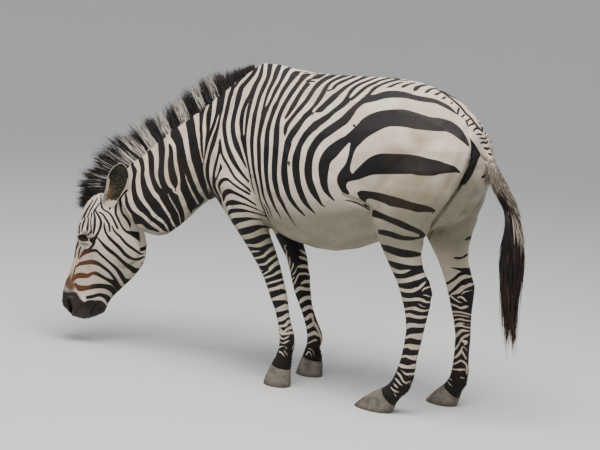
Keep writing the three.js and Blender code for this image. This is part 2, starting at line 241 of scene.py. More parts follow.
# Each mark is drawn where it is seen from the left rear: a stripe as rungs that join its two edges, (across,
# down, across, down) or, where a rung is level, (across, across, down), a patch as an outline, and a thin
# line as points with half widths. Places are in pixels of the 600 x 450 frame. Pale lines lie over the dark
# marks, and the far side repeats the near side's.
NECK_STRIPES = {
    "throat, behind the jaw": [
        (125, 126.2, 193.5), (125, 127.6, 198), (125, 128.3, 202), (125.8, 130, 206), (128, 132.2, 210),
        (131, 137, 214), (132, 142, 217), (134.3, 222.5, 147, 222), (135.8, 224.3, 148.5, 223.3),
        (141.5, 224, 150, 224.5), (146, 228, 153, 226.8), (149, 229.5, 155, 228.2),
        (153, 230.5, 157.5, 229.8), (157, 160, 232)],
    "neck 1": [
        (130.8, 162.5, 133.5, 160), (130.8, 134, 165), (132, 136.8, 170), (132.9, 136.3, 175),
        (132.1, 135.5, 180), (131.5, 135.8, 185), (131.5, 136.3, 190), (132.2, 137.6, 195),
        (133.2, 140.2, 200), (135.3, 144, 205), (138.8, 210, 149.5, 211.5), (142.8, 213, 152, 216),
        (146.5, 216.3, 156, 219), (150, 220, 160, 221.7), (155, 223.5, 163.5, 224.5),
        (160, 227.5, 165.8, 228), (163, 230.5, 168, 232)],
    "neck 2": [
        (138.2, 158, 141, 155.5), (138.5, 143.5, 160), (140, 144.4, 165), (140.8, 144.8, 170),
        (140.4, 144.4, 175), (140.8, 147, 185), (143.1, 152.3, 195), (145.3, 157, 200), (148.8, 160.8, 205),
        (152.3, 210, 164, 210.5), (156.8, 167.3, 215), (163, 170, 220), (166.8, 172, 225),
        (169.2, 230, 175, 229), (170, 174, 233)],
    "neck 3": [
        (147.3, 151, 150.5, 149.5), (147.5, 152.3, 153), (148.3, 154, 158), (148.9, 154.2, 170),
        (149.5, 154.5, 175), (150.8, 155.9, 180), (152.3, 158.3, 185), (154.5, 161.8, 190),
        (156, 192.3, 164, 193)],
    "neck 4": [
        (158.2, 141, 163, 138), (158, 164.2, 143), (158.4, 165.1, 150), (159, 164.5, 160),
        (158.3, 164, 170), (158.1, 164.3, 175), (159, 165.3, 180), (160.5, 167.5, 185), (163, 171.5, 190),
        (163.5, 173, 192.5)],
    "neck 5": [
        (169, 169.8, 143.5), (168.5, 171.5, 146), (168.9, 172.8, 150), (168.8, 173.3, 155),
        (168.1, 173.5, 160), (168.1, 175, 170), (170, 177.8, 180), (172.3, 185, 177.3, 185.5),
        (175, 175.8, 188.8), (175, 191.5, 176.6, 191)],
    "chest 1": [
        (154.3, 171.7, 188.5), (156, 192, 173.5, 192.5), (158.5, 177.7, 195), (161, 179.5, 200),
        (167.3, 183.3, 210), (170.3, 184.3, 215), (172.3, 184.5, 220), (175.3, 225, 183, 224),
        (178, 230, 179.5, 229.5)],
    "chest 2": [
        (171.5, 130.5, 177.5, 127.5), (170.5, 133, 180, 132), (170.8, 182, 137), (172.8, 182.9, 140),
        (175.5, 183.8, 145), (176.3, 184.8, 150), (177, 186.8, 160), (178, 188, 165), (179, 189.8, 170),
        (180.4, 193.1, 180), (180.3, 195.5, 185), (180.5, 197.5, 190), (183, 200.5, 195), (185, 204.3, 200),
        (186.8, 205, 199, 206), (188.8, 193, 210), (191.2, 191.6, 213.5)],
    "chest 3": [
        (191.8, 193.2, 115), (189, 193.5, 117), (186, 194, 120), (186, 195, 125), (187.8, 196.3, 135),
        (190.5, 200.2, 155), (193.2, 202.8, 165), (196.5, 203.9, 175), (200, 206.7, 185), (202.5, 209, 190),
        (205, 213, 195), (207.5, 199, 215, 199.5)],
    "collar 1": [
        (205.8, 103.8, 206.8, 103.3), (203, 206, 106.5), (200, 204.8, 110), (199.3, 203.8, 114),
        (199.5, 202.5, 125), (199.3, 202.5, 130), (200, 202.8, 135), (200.3, 202.8, 145),
        (201.8, 203.3, 155), (203.3, 203.8, 161), (203.4, 203.7, 165)],
    "collar 2": [
        (210.3, 102, 212.8, 99.5), (209.2, 212.3, 105), (206.8, 211.7, 113), (206, 210.8, 120),
        (206.3, 209.5, 130), (206, 208.3, 135), (205.3, 209.3, 140), (205, 207.8, 145), (204.3, 205.5, 155),
        (203.8, 204, 161)],
    "collar 3": [
        (220, 91, 227, 86.5), (219.3, 92, 226, 90.5), (218, 225.3, 95), (216, 223, 109),
        (215.4, 222, 113.5)],
    "collar 3, front arm": [
        (215.5, 112.5, 219.3, 113), (214.5, 217.5, 117), (212.3, 215.5, 124), (207.5, 210.5, 137),
        (206, 140, 209, 141)],
    "collar 3, rear arm": [
        (219.3, 113, 222, 112.5), (218.9, 221, 117), (216.2, 219, 127.5), (213.5, 217.5, 135),
        (210.5, 214.8, 145), (208, 211, 155), (206.3, 209.8, 163), (205.5, 209, 170), (205.8, 209.3, 175),
        (206.8, 209.5, 180), (210.5, 213, 190), (213.5, 216, 195), (217.5, 219.5, 200), (221.3, 222.5, 205),
        (225.5, 226.3, 210)],
    "collar 4": [
        (231.5, 236, 86), (230.5, 234, 90), (228.5, 232.8, 95), (227.3, 231, 100), (222.8, 226.8, 120),
        (222.3, 226.2, 127), (223, 226.8, 135), (224.8, 229, 145), (228, 233, 155), (233.3, 238, 165),
        (243, 246, 177), (246, 180, 249, 180.5), (248.6, 249, 182.7)],
    "collar 4, rear arm": [
        (246, 69.5, 250, 70), (242, 75.5, 244.5, 76.5), (237.5, 81, 239.5, 82), (235, 84, 237.5, 85),
        (233, 86.5, 236, 87)],
}
TRUNK_STRIPES = {
    "far thigh, rear edge": [(481, 177.2, 482, 178.2), (485, 174, 486.5, 176.8), (488.6, 170.8, 490, 175)],
    "withers 1": [
        (254.5, 258.8, 66), (252.3, 72, 256, 73), (246.5, 79, 250.5, 80.2), (240, 86, 244.5, 87.5),
        (238.5, 89, 243, 90.5), (236, 97, 241, 99), (233.8, 238.3, 108), (231.5, 235.8, 118),
        (230.5, 235, 127), (231.3, 236, 135), (233.5, 239.3, 145), (238.5, 242.5, 155), (244.3, 246, 165),
        (246.8, 247.2, 168.5)],
    "withers 2": [
        (261.8, 264, 64), (258, 262.3, 76), (253, 258, 85), (248.5, 254.5, 95), (245.3, 100, 253.2, 99.5)],
    "withers 2, front arm": [
        (245.5, 99.5, 249.5, 100), (241.3, 245.3, 110), (239.5, 243.5, 120), (239.3, 243.3, 125),
        (240.5, 243.3, 135), (240.3, 246.3, 138), (241, 246.3, 140), (243.5, 247, 150), (246.3, 248.3, 160),
        (250.5, 251.8, 180), (253, 254, 190), (255.8, 256.2, 195)],
    "withers 2, rear arm": [
        (249.5, 253, 100), (247, 250.5, 110), (245.5, 248.5, 120), (244.8, 247, 130), (244.2, 246.5, 136),
        (243, 246.3, 139)],
    "rib 1": [
        (267.8, 273, 63), (266.3, 270.5, 76), (262, 266.5, 86), (258, 261.8, 96), (255.3, 258.8, 106),
        (252.5, 256.8, 116), (250.2, 254, 136), (250.3, 253.5, 150), (252.5, 255, 170), (257.3, 259, 190),
        (259.9, 260.9, 200), (263.3, 264.3, 209), (267, 267.3, 218)],
    "rib 2": [
        (278, 282, 64.5), (274.8, 280.3, 70), (271.8, 276, 80), (267.3, 270.8, 90), (264.3, 266.8, 100),
        (262.5, 265, 108), (261.5, 265, 112)],
    "rib 3": [
        (288, 292.5, 67.5), (283.5, 289.5, 70), (279.5, 283.3, 80), (273.8, 278, 90), (269.8, 272.8, 100),
        (266.5, 270, 106), (262, 268.5, 110), (260.8, 266, 116), (257.3, 261, 136), (257, 260.8, 150),
        (257.5, 261, 166), (258.8, 261.5, 176), (260.5, 263, 186), (262.5, 264.5, 196), (268.5, 269.5, 209),
        (273, 273.3, 219.5)],
    "rib 4": [
        (302.5, 71.6, 303.2, 72.2), (295, 71, 301, 71.2), (291, 299.3, 74), (287.8, 293.5, 80),
        (281.3, 286, 90), (276.8, 280.3, 100), (273, 278, 106), (269.8, 273.8, 116), (266.5, 270.8, 126),
        (264.8, 269.3, 136), (263.8, 269, 150), (263.5, 268.5, 160), (264, 268, 170), (265, 268.5, 180),
        (266.8, 270.3, 190), (270.3, 273.3, 200), (273.6, 275.8, 207), (277.3, 278.7, 213),
        (281.6, 219.6, 282, 219.8)],
    "rib 5": [
        (312, 73.7, 312.8, 74.3), (303, 74, 311, 74.6), (298.5, 304, 80), (291, 296.3, 90),
        (284.8, 289.5, 100), (279.5, 283.8, 110), (276, 280.3, 120), (274, 279.5, 130), (273, 278.8, 146),
        (272, 277.7, 160), (271.8, 277, 176), (273.5, 278.3, 186), (276.5, 280.5, 196), (280.8, 284.5, 204),
        (283.7, 286.5, 209), (291, 220, 292.2, 219.5), (295, 225, 295.7, 224.7),
        (299.3, 229, 299.6, 228.8)],
    "rib 6": [
        (314.8, 80.8, 315.2, 82), (308, 80.8, 308, 82.5), (304.8, 310.5, 84), (300.3, 305.3, 90),
        (294, 299, 100), (290.5, 296, 106), (286.5, 290, 114), (284.8, 287.8, 117), (284.5, 285, 119.3)],
    "back spot": [
        (311.5, 78, 312, 79.6), (314, 76, 315, 79.2), (318, 74.3, 319.5, 78.5), (322, 74, 323, 76.5),
        (325.5, 73.8, 326, 74.8)],
    "rib 7": [
        (338, 74.3, 338.5, 75), (332, 74.5, 335.5, 76), (327, 76, 331, 78.5), (323, 78, 327, 80.2),
        (317, 82.5, 320.5, 85), (313.8, 86, 319, 87), (311, 315.8, 90), (304.5, 309.5, 100),
        (297.5, 303, 108), (293, 297.5, 114), (288, 292.5, 120), (285, 289.8, 124), (283.8, 287.8, 128),
        (283.5, 286.8, 132), (284.5, 285.2, 136)],
    "rib 8": [
        (347, 74.5, 352.5, 74.8), (342, 75.3, 348, 76.5), (333.5, 340, 79), (327.5, 332, 83),
        (323.3, 328, 88), (319.3, 324.5, 95), (313.8, 318.3, 104), (308.5, 312.8, 110), (304, 312, 114),
        (299.3, 305.5, 120), (291, 299, 130), (285.5, 292.3, 140), (284, 291, 146), (282.5, 288.3, 156),
        (281.3, 287.3, 166), (281.3, 287.8, 176), (283.3, 289, 186), (286.8, 291.5, 196),
        (291.8, 296.2, 204), (296, 208.5, 299, 208), (300, 212.4, 302.2, 211.6),
        (305.2, 216.4, 305.6, 216.1)],
    "rib 8, rear arm": [
        (327, 90, 328, 91.5), (331.3, 89, 334, 89.3), (334, 338.5, 85), (340, 347, 81), (344, 350, 79.5),
        (351.5, 358, 76.5), (354.5, 362, 75)],
    "rib 9": [
        (312, 115.7, 313, 112.5), (317, 109, 321.5, 112), (322, 104.5, 326.5, 107.5),
        (332, 95, 335.5, 99.5), (337, 91.5, 340, 94.5), (343, 87, 348, 87.5), (351.5, 82, 356, 82.5),
        (360, 78, 365, 78.5), (364, 76, 369.5, 77), (370, 74.7, 374.5, 75.5)],
    "flank 1, upper arm": [
        (389, 77.5, 390, 78.8), (380, 79.5, 380.5, 81.2), (372, 82.7, 376.5, 83.5), (365, 86, 368, 87.5),
        (358, 91.5, 362, 92.5), (352, 97, 355.5, 98), (347, 99, 352, 100.5)],
    "flank 1, lower arm": [
        (378, 76.7, 379, 77.3), (373.5, 77.8, 377, 78.2), (362, 82, 370, 81), (355.5, 85, 362, 84.5),
        (350, 89.5, 356, 88.5), (347, 94.5, 350.5, 95), (345, 97.5, 349.2, 98), (343, 100.5, 349.5, 101)],
    "flank 1": [
        (344.5, 99, 351.5, 100), (340, 103.5, 344, 107), (332, 110, 335, 113.2), (327, 114, 328.5, 119.5),
        (317, 120, 320, 126), (313, 122.5, 316, 130), (306, 130, 315, 130.5), (301.5, 309, 136),
        (296.5, 302.5, 146), (293, 300.3, 156), (292, 299.3, 166), (293, 300, 176), (295.3, 301.5, 186),
        (299, 305, 196), (303.8, 308.6, 204), (312.5, 212, 313.8, 211.3), (315.5, 214.2, 315.8, 214)],
    "flank 2, upper arm": [
        (402, 80, 402, 80.6), (397, 79.2, 398, 80.5), (388, 81, 389, 82.8), (380, 84, 380, 86.5),
        (373, 87.5, 374, 91), (368, 93, 369, 96.5), (365, 95.5, 367.5, 98.5)],
    "flank 2": [
        (456, 112.3, 458, 115), (450, 106.5, 451, 111), (443, 102.5, 443, 106.7), (435, 99, 435, 103.3),
        (425, 97, 425, 102), (415, 95, 415, 100.2), (405, 92, 405, 98), (395, 90.8, 395, 97.7),
        (385, 91.3, 385, 98.3), (375, 94.5, 375, 101.2), (365.5, 96, 366, 103), (359, 101, 362, 105),
        (353.5, 105.5, 357, 109.5), (347, 111.5, 352.5, 116.5), (341, 117.5, 347, 123.5),
        (331, 124.5, 339, 129), (322.5, 130.5, 330, 135.5), (314.5, 138.5, 322.5, 141), (307.8, 316, 150),
        (305.5, 312.7, 160), (304.3, 312, 170), (305.5, 312.8, 180), (309, 316.3, 190), (312.8, 318.8, 196),
        (319, 321.7, 203), (321.6, 205.6, 323, 204.8), (325.2, 207.3, 325.6, 207)],
    "flank 2, rump spur": [(457, 114.5, 458.3, 115), (457, 459, 112), (457.8, 460, 108)],
    "rump bar 1": [
        (386.5, 87, 387, 87.8), (391, 85, 391.5, 87.2), (395, 83.5, 395.5, 85.2), (399, 82.2, 399.5, 83.7),
        (403.5, 82, 403.5, 82.6)],
    "rump bar 2": [
        (401, 86.7, 401.5, 87.9), (403, 85.2, 405, 87.3), (406, 84.2, 408, 85.5), (410, 83.2, 411, 84.3),
        (415, 82.5, 416, 83.4)],
    "rump bar 3": [
        (413.2, 89.7, 413.8, 91.3), (414, 87.5, 417, 90.5), (416.5, 86, 419, 88.5), (420, 85, 421, 87),
        (423, 84.5, 423.5, 86.2), (427, 84.7, 427, 85.5)],
    "rump bar 4": [
        (424.8, 91.7, 425, 93.2), (427, 90, 428, 92.5), (429, 88.8, 430, 90.8), (432, 88.1, 432.5, 89.5),
        (434.5, 88.2, 435, 89)],
    "rump bar 5": [
        (434, 94.3, 434.3, 95.2), (436, 93.2, 437.5, 95), (438.5, 92.3, 440, 93.5),
        (442, 91.7, 442.3, 92.4)],
    "rump bar 6": [(441.5, 98.3, 442, 99), (443, 97.2, 444.5, 98.8), (445.5, 96.3, 446.5, 97.5)],
    "rump bar 7": [(460.8, 116.5, 461.5, 117.7), (463, 114.8, 464, 116.5), (464.5, 114, 465, 115)],
    "rump bar 8": [(450.3, 103, 451, 104), (452, 101.8, 453.5, 103.2)],
}
TRUNK_PATCHES = {
    "haunch, first two": [
        (333.5, 200.5), (328, 196), (323, 190), (320, 182), (318.3, 168), (320.3, 158), (324, 151.5),
        (330, 145.3), (340, 138.5), (344.5, 136.5), (352, 130), (359, 123), (362, 119.5), (370, 114.5),
        (380, 111), (390, 109.8), (400, 109.3), (410, 110.8), (430, 117), (440, 118.1), (450, 121),
        (455, 123.8), (460, 128), (464.5, 134), (467.3, 139.5), (469, 146.5), (463, 142), (455, 136),
        (450, 133), (445, 131.4), (435, 131), (415, 129), (405, 127), (391, 126.3), (383, 128.5),
        (375, 132.5), (367, 137.5), (360.5, 143.5), (355, 150), (351.5, 161), (350, 168), (350.5, 171),
        (351.8, 173.5), (353.5, 173), (358, 168), (367, 159.5), (374, 155.5), (382, 153.6), (395, 153.9),
        (410, 154.6), (420, 156.4), (430, 159), (438, 160.7), (446, 163.5), (454, 166.3), (458.5, 170),
        (460.5, 173), (454, 172.4), (440, 174), (432.5, 175.7), (418, 175.3), (412, 174), (400, 174.1),
        (376, 174.4), (367, 176.3), (359, 179.3), (349, 181.5), (346.5, 184), (346.5, 188), (349.5, 193.5),
        (345.5, 195), (341.5, 191), (338, 184.5), (337, 180), (338, 175), (341, 170), (345.5, 164),
        (348.3, 156), (350, 147), (350.3, 142.5), (348, 143.5), (342.5, 149.5), (336.5, 156.5),
        (330.8, 162), (329, 168), (327.5, 180), (328.5, 189.5), (331.5, 196), (335, 200.5)],
    "haunch, third": [
        (357.5, 192.5), (360, 191), (364, 190.8), (379, 192.8), (391, 196), (400, 198.3), (410, 201.8),
        (420, 204.3), (429, 206.5), (435, 210), (434.5, 212), (425, 212), (417.5, 212), (409, 209.8),
        (400, 207.8), (390, 206), (385, 203.5), (375, 199.8), (370, 198.5), (366.3, 199.5), (366.5, 202),
        (370, 207.5), (365.5, 205.5), (360.5, 199.5), (357.5, 194)],
    "stifle pair": [
        (372.3, 213), (373, 210.5), (375, 209.9), (382, 213.3), (390, 216.7), (400, 220.2), (410, 225),
        (420, 229.8), (424.5, 233.5), (425.3, 235.5), (424.5, 236.8), (418, 239), (408, 240.4),
        (398, 239.3), (388, 236.2), (380, 234.3), (378.3, 233), (378.5, 229.8), (381, 229.6), (390, 231.2),
        (400, 234.8), (405, 236), (415, 237), (418.5, 237), (419.8, 236), (419, 234.3), (414, 232.3),
        (405, 229.3), (386, 220.8), (378, 218), (372.5, 216.5)],
    "under the tail": [
        (470.3, 139), (471, 144), (471, 150), (470, 160), (468, 167), (462.5, 178), (460, 184),
        (464.5, 184.5), (467, 182), (472.5, 174), (478, 160), (480.5, 155), (478, 150), (475, 145),
        (471.5, 140)],
}
TRUNK_LINES = {
    "collar 4, front arm": [(240.5, 74.3, 0.4), (235, 80, 0.7), (233, 83.5, 0.9), (232.5, 86, 1.2)],
    # A thin dark line along the flank fold: painted shade in the crease.
    "painted shade in the flank fold": [(345, 200, 0.3), (352, 201.5, 0.7), (358, 203.5, 0.8), (370, 210, 0.5)],
    "rump 1": [
        (468.1, 126.2, 0.6), (467.2, 123.1, 0.8), (466.9, 121.2, 0.9), (469.1, 119.4, 0.8),
        (470.6, 118.8, 0.6)],
    "rump 2": [(469.4, 125.9, 0.6), (471.2, 124.4, 0.9), (473.8, 123.4, 1), (473.2, 121.5, 0.7)],
    "rump 3": [(473.4, 131.2, 0.5), (475, 129.1, 1), (476.9, 128.1, 1.1), (479.1, 128.8, 0.9)],
    "dock 1": [(476.2, 134.4, 0.6), (478.8, 134.1, 0.9), (481.6, 134.4, 0.7)],
    "dock 2": [(480, 138.1, 0.6), (482.5, 138.4, 0.8), (484.6, 139, 0.8)],
    "dock 3": [(481.2, 143.1, 0.8), (483.1, 142.2, 1.1), (485.9, 143.1, 1)],
    "dock 4": [(485, 148.1, 1.1), (486.9, 148.8, 1.4), (488.6, 148.4, 1.2)],
    "dock 5": [(489.1, 153.8, 0.9), (491.4, 154.7, 1)],
    "dock, upper edge": [(486, 133, 0.8), (487.2, 139, 1.1), (488.8, 145, 1), (490.4, 149.5, 0.6)],
    # A thin dark line down the cleft between the thighs: painted shade.
    "painted shade under the cleft": [(463.5, 182, 0.9), (458, 190, 0.7), (451.5, 199, 0.5), (446, 206, 0.3)],
    "behind the elbow 1": [(258.5, 192, 0.4), (261, 202, 0.5), (265, 212, 0.4), (269, 221, 0.2)],
    "behind the elbow 2": [(264.5, 205, 0.3), (268, 213, 0.4), (272, 220, 0.2)],
    "spine, loin": [(386, 77, 0.4), (393, 78, 0.6), (400, 79.6, 0.5)],
    "spine, rump": [
        (434, 87.5, 0.5), (440.5, 91, 0.7), (451.2, 98.6, 0.8), (460, 106.2, 0.9), (466.2, 113.8, 0.9),
        (470, 117, 0.8), (478.8, 128.1, 0.8), (486, 134, 0.7)],
    "mark below the hip": [(432.5, 213, 0.4), (432.7, 216, 0.4)],
    "scar, rib": [(289, 161.8, 0.8), (289.2, 165, 0.8)],
    "scar, flank": [(354, 125.3, 1.2), (354.2, 125.8, 1.2)],
}
FORELEG_STRIPES = {
    "shoulder 1, front arm": [
        (219.5, 220.7, 139), (219, 221, 142), (218, 222, 150), (217, 219.3, 155), (214.3, 217, 165),
        (212.5, 214.8, 175), (212.3, 216, 180), (212.5, 215.5, 185), (214, 217, 190), (220, 222, 200),
        (222.5, 225, 205), (225.5, 226.5, 209)],
    "shoulder 1, rear arm": [
        (219.5, 148, 222, 149), (221, 223, 154), (223.3, 226, 160), (226.5, 229, 165), (232, 234.5, 175),
        (236, 239, 180), (245.5, 248.5, 188), (250, 251.5, 192)],
    "shoulder 2, front arm": [
        (220, 221, 164), (219.3, 222.3, 168), (218.5, 220.5, 171), (217.3, 218.8, 175), (215, 216.5, 180)],
    "shoulder 3": [
        (224, 224.3, 200), (220.5, 193.5, 221.5, 194.5), (218.3, 188, 220, 187.5), (218, 185, 221, 184.5),
        (219, 181.5, 223, 182), (221, 179, 224.3, 181.2), (224, 177.8, 225.5, 180.8),
        (227, 177.8, 228, 181), (229, 179, 230, 182.5), (234, 183.5, 235.5, 187),
        (240, 187.5, 242.5, 191.3), (247, 191.5, 249, 195), (250, 193.5, 250.5, 194.5)],
    "shoulder 4": [
        (224, 225, 201), (222.5, 225, 198.5), (222, 195.5, 226, 196), (223, 192, 228, 194.5),
        (225, 190, 229.5, 193.8), (228, 188.8, 231, 193.5), (231, 189.3, 233.5, 194),
        (234, 191, 237, 195.5), (242, 195, 245, 199.3), (250, 200, 253, 204), (253.5, 202.5, 256, 205.8),
        (256.3, 205, 256.7, 205.6)],
    "shoulder 5": [
        (229, 229.5, 207), (228.5, 204.5, 230.5, 206), (228, 202, 233, 205), (229, 200.8, 234, 205),
        (231.5, 199.8, 237, 204.8), (235, 200.3, 241, 204.5), (245, 203.5, 249, 206.8),
        (255, 207.8, 257, 210), (258, 209.5, 260, 211.3)],
    "shoulder 6": [
        (231.5, 215, 232, 215.5), (231.3, 212, 233, 214.5), (232, 210.3, 235, 213.3),
        (234, 209, 239, 212.3), (238, 208.5, 243, 212.3), (243, 209, 247.5, 212),
        (251.5, 211.3, 255.5, 213.8), (260, 213.8, 262, 215.5)],
    "forearm 1": [
        (234, 222, 236, 226), (234.5, 220, 238, 225.3), (236, 218.5, 240, 224), (239, 217.8, 243, 222.3),
        (248, 217.3, 250, 220), (257, 218.5, 258, 219.8), (262, 219.5, 262, 220.3)],
    "forearm 2": [
        (239.5, 230, 241, 234.5), (243, 229, 245, 235), (250, 226.3, 250, 233.8), (258, 224.8, 259, 229.3),
        (261.5, 225.3, 262.5, 228), (269.5, 226.5, 270, 227.3)],
    "forearm 3": [
        (244.5, 239.5, 245, 241.5), (249, 239.5, 248, 243.3), (252, 238.8, 252, 243.8),
        (255, 237.3, 256, 244), (261, 235, 263, 241), (265, 234.2, 267, 238.5), (269, 234.3, 271, 237),
        (272, 234.8, 273, 236.6)],
    "forearm 4": [
        (249, 246, 251.5, 250), (253, 246.8, 254, 250.5), (258, 247.5, 258, 250.5),
        (262, 246.5, 262.5, 251), (265, 245, 265.5, 251), (268, 244, 268, 249), (271, 243.3, 271.5, 246.7),
        (275.5, 242.3, 275.5, 244.6)],
    "forearm 5": [
        (254, 253.3, 255.5, 257), (257, 252.5, 258, 257), (260, 251.8, 260.5, 256.3),
        (262.5, 250, 263, 254.7), (265, 248, 265.5, 252)],
    "forearm 6": [
        (257, 260.3, 258.5, 263.5), (260, 259, 261, 263.8), (263, 258, 264, 263.3),
        (265.5, 256.5, 266, 262), (267.5, 254.5, 268, 259.5), (270, 252.5, 270, 257.8),
        (273, 251, 273, 256), (276.5, 250.2, 277, 253)],
    "forearm 7": [
        (259.5, 266.5, 260.5, 271), (262, 266, 263.5, 270), (265, 265.5, 266.5, 270),
        (267, 264.5, 268, 268.3), (269, 262.5, 270, 266.3), (275.5, 257.8, 276, 261),
        (278, 256.6, 278.5, 259.3)],
    "forearm 8": [
        (261.5, 273.5, 263.8, 276), (264, 271.8, 265.3, 273.8), (266.5, 269.8, 268, 271.2),
        (268.5, 268, 269, 269.8)],
    "forearm 9": [
        (265.5, 276, 266.3, 277.5), (267, 274.5, 269, 275.8), (271, 270.5, 273, 274),
        (275, 266.8, 277, 271), (277, 265.5, 279, 270), (280, 264.3, 281, 269)],
    "forearm 10": [
        (266, 281, 266.5, 285), (267.5, 279.3, 268.5, 283.5), (271, 277.3, 272, 281.5),
        (279, 273.5, 280, 278.8), (282, 272.8, 283, 278)],
    "forearm 11": [
        (268, 287, 268.5, 291), (270, 285, 271, 288.5), (274, 283, 275, 287), (278, 281.8, 279, 285),
        (283, 280.3, 283.5, 283.5)],
    "knee 1": [
        (270.8, 293.5, 271.5, 298.5), (273, 291.5, 273.5, 298.8), (275.5, 290.5, 276, 297.3),
        (281, 288.8, 282, 294), (284, 289.3, 285, 293.5), (286, 291, 286.3, 293.3)],
    "knee 2": [
        (273, 303.5, 275, 309), (275, 301.5, 277, 308), (277, 300.3, 280, 306.5), (283, 300, 284, 303.8),
        (286, 300.5, 286, 303.3), (288.3, 302, 288.3, 304.3)],
    "cannon 1": [
        (275, 312.5, 276.5, 317), (277, 311.7, 279, 316.5), (280, 311, 282, 315.5),
        (283, 310.5, 284.5, 314), (286, 309.5, 286.5, 312.5), (288.5, 309.2, 288.5, 311.8),
        (290.5, 310, 290.5, 312.8)],
    "cannon 2": [
        (277.5, 321, 278.5, 323.3), (280, 320.3, 281, 323), (283, 319.5, 284, 322.5),
        (285.5, 318.3, 286, 321), (287, 317, 287, 319.2), (288.5, 316.3, 288.5, 318.3),
        (291, 316, 291, 318)],
    "cannon 3": [
        (279.3, 325.7, 280.3, 328), (282, 325.3, 283, 328.8), (285, 325, 285, 327.3),
        (287, 324.2, 287, 325.8), (290, 321.3, 291, 323.5), (293.3, 321.8, 293.5, 324.5)],
}
FORELEG_PATCHES = {
    "fetlock and pastern": [
        (285, 329.8), (289.5, 327.5), (292, 327), (294, 327.8), (295.5, 329.5), (298.5, 334), (298.5, 345),
        (294, 352), (300, 372), (296, 392), (262, 392), (262, 364), (268, 356), (276, 352), (276, 340),
        (277.3, 330), (277.5, 325), (279, 329), (280.5, 332), (284, 332.5), (288, 331.5), (287, 330.3)],
}
FORELEG_PALE_LINES = {
    "fetlock 1": [
        (278.5, 324.8, 0.7), (283.5, 330.2, 1.1), (286.5, 331.2, 1.2), (290, 330.3, 1.5),
        (293, 330.3, 1.3)],
    "fetlock 2": [
        (279.3, 332.5, 0.8), (281, 335, 1), (284, 335.8, 0.8), (287, 334.5, 0.8), (289.5, 333, 0.4)],
    "fetlock 3": [(280, 338.5, 0.6), (282.5, 339.8, 0.6), (286, 338.8, 0.9), (289, 337.5, 0.5)],
    "fetlock 4": [(279, 343.5, 0.9), (281.5, 342.8, 0.6), (284.5, 342.5, 0.4), (286.5, 344.5, 0.7)],
    "pastern 1": [(279.5, 347.5, 0.9), (281.5, 348.5, 0.8), (283.5, 350.5, 0.7), (284.5, 352, 0.4)],
    "pastern 2": [(284, 346.5, 0.6), (286, 349, 0.6), (288, 351, 0.4)],
    "ergot line": [(295.5, 333, 0.4), (295, 337, 0.8), (294.5, 341, 0.7), (292, 345, 0.5)],
    "chest slit": [(206.5, 184, 0.3), (207.5, 188, 0.5), (208.8, 192, 0.6), (210, 195.5, 0.4)],
    "chest 2 slit": [
        (185, 174, 0.3), (186, 177, 0.7), (186.7, 180, 0.7), (188.8, 185, 1), (190.8, 190, 1),
        (198, 203.5, 1.3)],
    "chest 1 slit": [
        (167.5, 193.5, 0.3), (168.5, 195, 0.6), (170.8, 200, 0.7), (176.6, 210, 0.7), (178.9, 215, 0.6),
        (181, 224.5, 0.7)],
    "chest 1 tip": [(175.5, 226.5, 0.5), (177, 228.3, 0.5), (179, 230.5, 0.5)],
}
